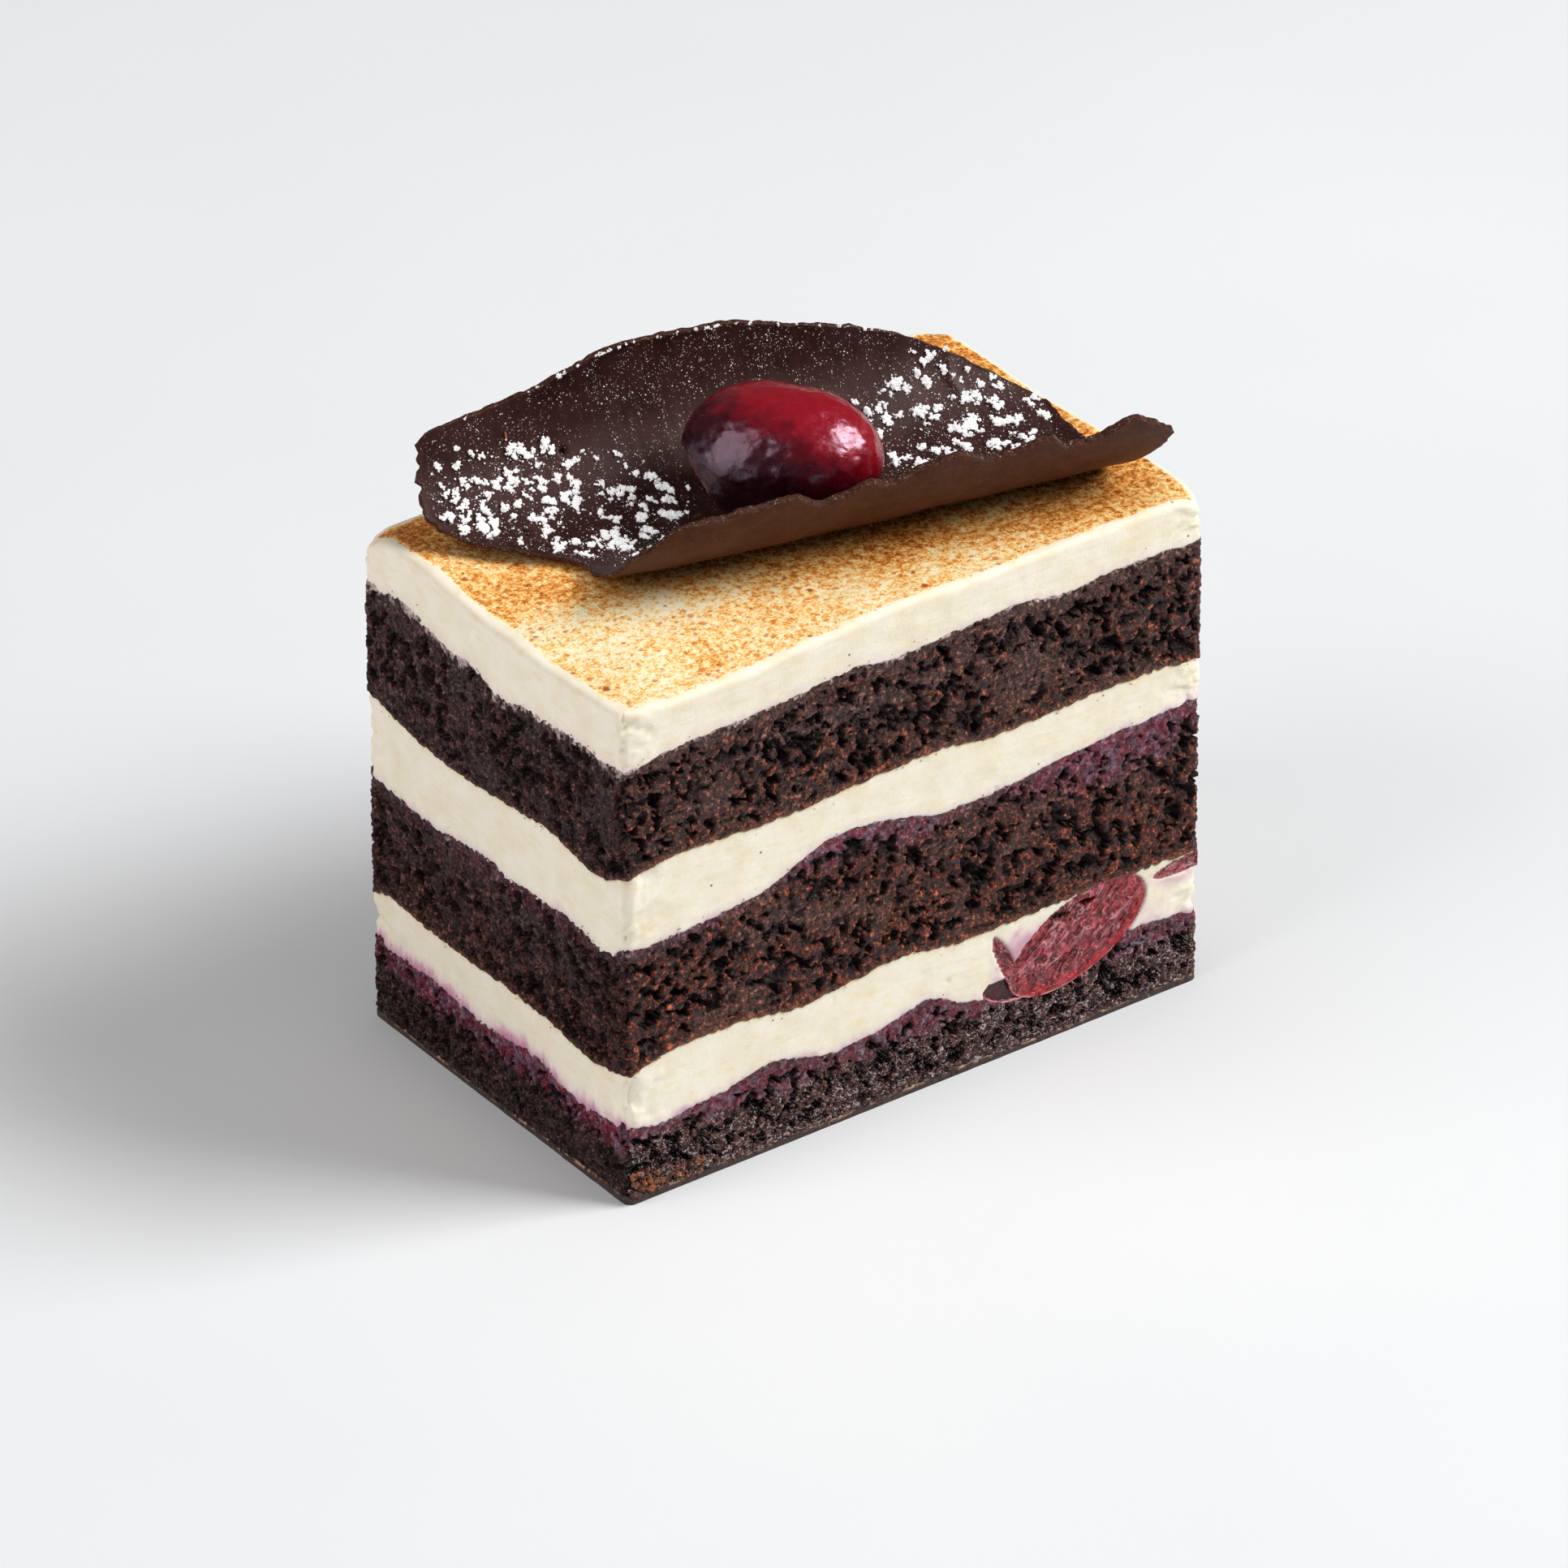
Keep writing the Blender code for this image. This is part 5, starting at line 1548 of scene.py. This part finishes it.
def make_cherry(look, place):
    """The whole cherry, with its crease, its dull cut end, fine threads in its skin, and painted light and
    shade.
    """
    ball, faces = icosphere(7)
    points, cut, normal = cherry_form(ball)
    rough = 0.34 * fractal(ball * 2.2, 3, 601) + 0.08 * fractal(ball * 7.0, 3, 602)
    crease = np.exp(-(((points[:, 0] - 1.2 + 1.3 * ball[:, 1]) / 0.8) ** 2))
    crease *= smooth_step(-ball[:, 1], 0.1, 0.8) * smooth_step(0.4 - ball[:, 2], 0.0, 0.5)
    shift = np.where(cut, 0.0, rough - 0.30 * crease)
    points = points + ball * shift[:, None]
    middle = points[cut].mean(axis=0)
    away = np.linalg.norm(points - middle, axis=1)
    widest = np.percentile(away[cut], 98)
    hollow = CHERRY_HOLLOW * (1.0 - smooth_step(away / widest, 0.15, 0.92)) * cut
    points = points - normal * (hollow + 0.25 * cut * fractal(points / 1.5, 3, 603))[:, None]
    world = to_world(sheet_frame() @ place, points)
    # Painted light and shade: brighter high up and to the right, where the light falls.
    height = (world[:, 2] - world[:, 2].min()) / np.ptp(world[:, 2])
    height += 0.85 * (world[:, 0] - world[:, 0].mean()) / np.ptp(world[:, 0])
    near_cut = np.clip(1.0 - (CHERRY_CUT_DISTANCE - points @ normal) / 0.6, 0, 1) * ~cut
    bent = points[:, 0] + 0.5 * points[:, 2] * ball[:, 2] + 0.3 * fractal(ball * 3.0, 2, 604)
    thread = np.maximum(0.7 * np.exp(-(((bent - 11.5) / 0.14) ** 2)), near_cut)
    values = {"height": height, "cut": 0.9 * cut, "thread": thread}
    cherry = build_mesh("whole_cherry", world, [faces], look, values)
    return keep(cherry, "cherry", "cherry_top")


def cut_fruit(form, back, level, seed, relief, vein_size):
    """A fruit cut just behind the front face: its mesh, and what each point of the cut shows."""
    half = form[1]
    ball, faces = icosphere(level)
    origin, axes = fruit_frame(form)
    local = ball * np.array(half)
    plane = -WIDTH / 2 + back
    points = local @ axes + origin
    cut = points[:, 1] < plane
    radius = np.hypot(local[:, 0] / half[0], local[:, 2] / half[2])
    bumps = 0.12 * fractal(points / 1.5, 3, seed)
    points = points + np.where(cut, 0.0, bumps)[:, None] * ball
    face_radius = math.sqrt(max(1.0 - (back / half[1]) ** 2, 0.0))
    spread = np.where(radius > 1e-6, np.minimum(radius, face_radius) / np.maximum(radius, 1e-6), 1.0)
    shrunk = local * np.stack([spread, np.ones_like(spread), spread], axis=-1)
    radius = np.minimum(radius, face_radius) / face_radius
    flat = shrunk @ axes + origin
    slant = math.radians(VEIN_SLANT)
    lengthwise = local[:, 0] * math.cos(slant) + local[:, 2] * math.sin(slant)
    crosswise = local[:, 2] * math.cos(slant) - local[:, 0] * math.sin(slant)
    stretch = np.stack([lengthwise / vein_size[0], crosswise / vein_size[1], 0 * radius], axis=-1)
    vein = 1.0 - np.abs(fractal(warped(stretch, 1.2, 0.6, seed + 3), 3, seed + 1, 0.55)) * 3.6
    vein = np.clip(vein, 0, 1)
    lump = fractal(flat / 1.1, 3, seed + 2, 0.6)
    height = relief * (0.5 * vein + 0.6 * lump) * (1.0 - smooth_step(radius, 0.88, 1.0))
    flat[:, 1] = plane - height - 0.02
    points[cut] = flat[cut]
    fruit = SimpleNamespace(points=points, faces=faces, cut=cut, radius=radius, vein=vein, lump=lump)
    fruit.share = local / np.array(half)
    return fruit


# Hollows in the cut cherry: x and z of the middle, and half-sizes.
FRUIT_HOLLOWS = [(22.9, 17.6, 1.7, 0.8), (27.4, 18.4, 1.3, 0.6)]
FRUIT_HOLLOW_DEPTH = 1.1


def make_cut_cherry(look):
    """The cut cherry, with a skin round its lower half, two hollows, and a loose flap of skin beside it."""
    fruit = cut_fruit(CUT_CHERRY, FRUIT_BACK, 7, 701, 0.38, (3.6, 1.15))
    flap = cut_fruit(FLAP, FRUIT_BACK, 6, 711, 0.2, (2.0, 0.6))
    lower = smooth_step(-fruit.share[:, 2], -0.1, 0.5)
    right = smooth_step(fruit.share[:, 0], 0.3, 0.8)
    skin = smooth_step(fruit.radius + 0.16 * fruit.lump, 0.74, 0.88) * np.maximum(lower, 0.3 * right)
    skin = np.maximum(skin * fruit.cut, ~fruit.cut)
    line = smooth_step(fruit.radius + 0.03 * fruit.lump, 0.965, 0.99) * fruit.cut * (0.35 + 0.65 * lower)
    holes = np.zeros(len(skin))
    for x, z, half_x, half_z in FRUIT_HOLLOWS:
        away = np.hypot((fruit.points[:, 0] - x) / half_x, (fruit.points[:, 2] - z) / half_z)
        holes = np.maximum(holes, 1.0 - smooth_step(away + 0.4 * fruit.lump, 0.5, 1.1))
    holes *= fruit.cut
    fruit.points[:, 1] += FRUIT_HOLLOW_DEPTH * holes
    flap_edge = smooth_step(flap.radius + 0.1 * flap.lump, 0.75, 0.95) * flap.cut
    values = {
        "rim": np.concatenate([skin, np.zeros(len(flap.points))]),
        "vein": np.concatenate([fruit.vein * fruit.cut * (1.0 - skin), flap.vein * flap.cut]),
        # Painted shade in the two hollows, and darker tone at random on the flap.
        "dark": np.concatenate([0.9 * holes, 0.3 * flap.cut * smooth_step(flap.lump, 0.0, 0.5)]),
        "line": np.concatenate([0.8 * line, 0.6 * flap_edge]),
    }
    points = np.concatenate([fruit.points, flap.points])
    faces = np.concatenate([fruit.faces, flap.faces + len(fruit.points)])
    return keep(build_mesh("cut_cherry", points, [faces], look, values), "cut_cherry", "cherry_filling")


def make_scrap(look):
    """The dark scrap of cherry, whose lower edge stands out."""
    fruit = cut_fruit(SCRAP, SCRAP_BACK, 6, 721, 0.10, (2.0, 1.0))
    lower = smooth_step(-fruit.share[:, 2], 0.1, 0.8)
    rim = smooth_step(fruit.radius + 0.25 * fruit.lump, 0.84, 1.0) * lower * fruit.cut
    fruit.points[:, 1] -= 0.45 * rim
    scrap = build_mesh("dark_cherry_scrap", fruit.points, [fruit.faces], look, {"rim": rim})
    return keep(scrap, "cherry", "cherry_scrap")


def make_sliver(look):
    """The thin slice of cherry, cut off by the end of the block."""
    fruit = cut_fruit(SLIVER, FRUIT_BACK, 6, 731, 0.25, (1.8, 0.5))
    end = LENGTH / 2 - FRUIT_BACK
    past_end = fruit.points[:, 0] > end
    fruit.points[past_end, 0] = end - 0.15 * fruit.lump[past_end]
    line = 0.45 * smooth_step(fruit.lump, -0.3, 0.3) + 0.3 * smooth_step(fruit.radius, 0.85, 1.0)
    values = {
        "rim": 0.3 * smooth_step(fruit.radius, 0.5, 1.0) * fruit.cut,
        "vein": fruit.vein,
        "dark": 0.3 * smooth_step(fruit.lump, 0.1, 0.5),
        "line": np.clip(line, 0, 1) * fruit.cut,
    }
    sliver = build_mesh("thin_cherry_slice", fruit.points, [fruit.faces], look, values)
    return keep(sliver, "cut_cherry", "cherry_sliver")


# ---------------------------------------------------------------- loose crumbs


FOOT_CRUMBS = 240
SEAM_SPECKS = 200
FRUIT_FROM = 8.0  # no crumbs on the cut fruit, which begins here

# Seams with specks of crumb, which lie on the cream: above the seam or below it.
SPECK_SEAMS = [("upper_cream_floor", 1), ("upper_cream_roof", -1), ("lower_cream_roof", -1),
               ("top_cream_floor", 1), ("lower_cream_floor", 1)]


def make_crumbs(look):
    """Crumbs low on the front face, most of them near its left end, specks by the seams, and flakes."""
    heap = Heap()
    draw = random.Random(23)
    front, left = -WIDTH / 2, -LENGTH / 2
    for index in range(FOOT_CRUMBS):
        size = 0.14 + 0.36 * draw.random() ** 2.2
        foot = draw.random() < 0.5
        if foot:
            along = left + 1.0 + 11.0 * draw.random() ** 1.6
            height = 1.0 + 3.4 * draw.random() ** 1.3
        else:
            along = draw.uniform(left + 1.0, -left - 1.0)
            height = draw.uniform(1.0, 9.5)
        place = (along, front + 0.10 + 0.2 * draw.random(), height)
        if along > FRUIT_FROM and height > 3.5:
            continue
        squash = (draw.uniform(0.7, 1.2), draw.uniform(0.6, 0.9), draw.uniform(0.6, 1.1))
        tint = draw.uniform(0.4, 1.0) if (foot and draw.random() < 0.6) else draw.uniform(0.0, 0.2)
        heap.lump(place, size, 3, index, 1.3, squash, None, tint)
    for index in range(SEAM_SPECKS):
        seam, side = SPECK_SEAMS[draw.randrange(len(SPECK_SEAMS))]
        on_front = draw.random() < 0.6
        away = abs(draw.gauss(0.0, 0.7))
        size = 0.04 + 0.08 * draw.random() ** 2
        if on_front:
            x, y = draw.uniform(left + 1, -left - 1), front + 0.08
        else:
            x, y = left + 0.08, draw.uniform(front + 1, -front - 1)
        z = float(edge_heights(SEAMS[seam], np.array(x), np.array(y))) + math.copysign(away, side)
        if on_front and x > FRUIT_FROM and "lower" in seam:
            continue
        heap.lump((x, y, z), size, 1, 900 + index, 0.5, (1.0, 1.0, 0.9), None, 1.0)
    world = sheet_frame()
    for index, (along, degrees, length) in enumerate(FLAKES):
        lean = world.to_3x3().to_4x4() @ Matrix.Rotation(math.radians(degrees), 4, "X")
        place = to_world(world, on_sheet(along, degrees, SHEET_RADIUS - SHEET_THICKNESS - 0.05))
        heap.lump(place, length, 2, index, 0.5, (0.22, 1.0, 0.12), lean, 1.0)
    crumbs = heap.build("loose_crumbs", look)
    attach(crumbs, "root")
    return crumbs


# ---------------------------------------------------------------- floor, light and camera


# The floor and the point that the lights aim at, in metres.
FLOOR_HALF = 6.0
LIT_POINT = (0.0, 0.0, 0.04)

# Each light: direction from the cake, distance, size, power, colour, and whether gloss mirrors it.
LIGHTS = {
    "key": ((0.61, -0.45, 0.67), 2.2, (1.1, 1.1), 54.0, (1.0, 0.985, 0.965), True),
    "top": ((-0.10, 0.05, 1.0), 2.2, (2.2, 2.2), 12.0, (1.0, 0.99, 0.98), False),
    "fill": ((-0.92, 0.10, 0.38), 1.6, (1.1, 1.9), 15.0, (1.0, 0.94, 0.92), True),
}
SKY_COLOUR = (1.0, 0.98, 0.95, 1.0)
SKY_STRENGTH = 0.09


def make_floor():
    mesh = bpy.data.meshes.new("floor")
    corners = [(x * FLOOR_HALF, y * FLOOR_HALF, 0) for x, y in ((-1, -1), (1, -1), (1, 1), (-1, 1))]
    mesh.from_pydata(corners, [], [(0, 1, 2, 3)])
    mesh.materials.append(floor_look())
    floor = bpy.data.objects.new("floor", mesh)
    bpy.context.scene.collection.objects.link(floor)


def add_light(name, way, distance, size, power, colour, mirrored):
    """A soft rectangular light in the direction way from the cake, aimed at its middle."""
    data = bpy.data.lights.new(name, "AREA")
    data.shape = "RECTANGLE"
    data.size, data.size_y = size
    data.energy = power
    data.color = colour
    light = bpy.data.objects.new(name, data)
    light.visible_glossy = mirrored
    bpy.context.scene.collection.objects.link(light)
    direction = Vector(way).normalized()
    light.location = Vector(LIT_POINT) + direction * distance
    light.rotation_euler = direction.to_track_quat("Z", "Y").to_euler()


def place_lights():
    for name, settings in LIGHTS.items():
        add_light(name, *settings)
    world = bpy.data.worlds.new("studio")
    world.use_nodes = True
    sky = world.node_tree.nodes["Background"].inputs
    sky["Color"].default_value = SKY_COLOUR
    sky["Strength"].default_value = SKY_STRENGTH
    bpy.context.scene.world = world


def place_camera():
    azimuth, elevation = math.radians(CAMERA_AZIMUTH), math.radians(CAMERA_ELEVATION)
    back = Vector((
        math.sin(azimuth) * math.cos(elevation),
        -math.cos(azimuth) * math.cos(elevation),
        math.sin(elevation),
    ))
    data = bpy.data.cameras.new("camera")
    data.lens, data.sensor_width = CAMERA_LENS, CAMERA_SENSOR
    data.clip_start, data.clip_end = CAMERA_CLIP
    camera = bpy.data.objects.new("camera", data)
    bpy.context.scene.collection.objects.link(camera)
    look = back.to_track_quat("Z", "Y").to_matrix().to_4x4()
    roll = Matrix.Rotation(math.radians(CAMERA_ROLL), 4, "Z")
    camera.matrix_world = Matrix.Translation((Vector(AIM) + back * CAMERA_DISTANCE) * MM) @ look @ roll
    bpy.context.scene.camera = camera
    bpy.context.scene.view_settings.view_transform = "Standard"


def main():
    place_camera()
    place_lights()
    make_floor()
    crumb, cream = sponge_look(), cream_look()
    make_base(coat_look())
    make_sponge("bottom_sponge_crumb", "sponge_bottom", "coat", "lower_cream_floor", crumb,
                pitch=0.21, seed=1000, moist=1.0, rusty=0.18, smeared=0.5)
    make_cream("lower_cream_band", "cream_lower", "lower_cream_floor", "lower_cream_roof", cream, 210)
    make_sponge("middle_sponge_crumb", "sponge_middle", "lower_cream_roof", "upper_cream_floor", crumb,
                pitch=0.275, seed=2000, moist=0.0, rusty=0.42, smeared=0.6)
    make_cream("upper_cream_band", "cream_upper", "upper_cream_floor", "upper_cream_roof", cream, 240)
    make_sponge("top_sponge_crumb", "sponge_top", "upper_cream_roof", "top_cream_floor", crumb,
                pitch=0.25, seed=3000, moist=0.0, rusty=0.22, smeared=0.9)
    make_cream_top(toasted_look())
    make_curl(chocolate_look())
    place = settled_cherry()
    make_sugar(sugar_look(), place)
    make_cherry(cherry_look(), place)
    flesh = cut_cherry_look()
    make_cut_cherry(flesh)
    make_scrap(scrap_look())
    make_sliver(flesh)
    make_crumbs(loose_crumb_look())


main()
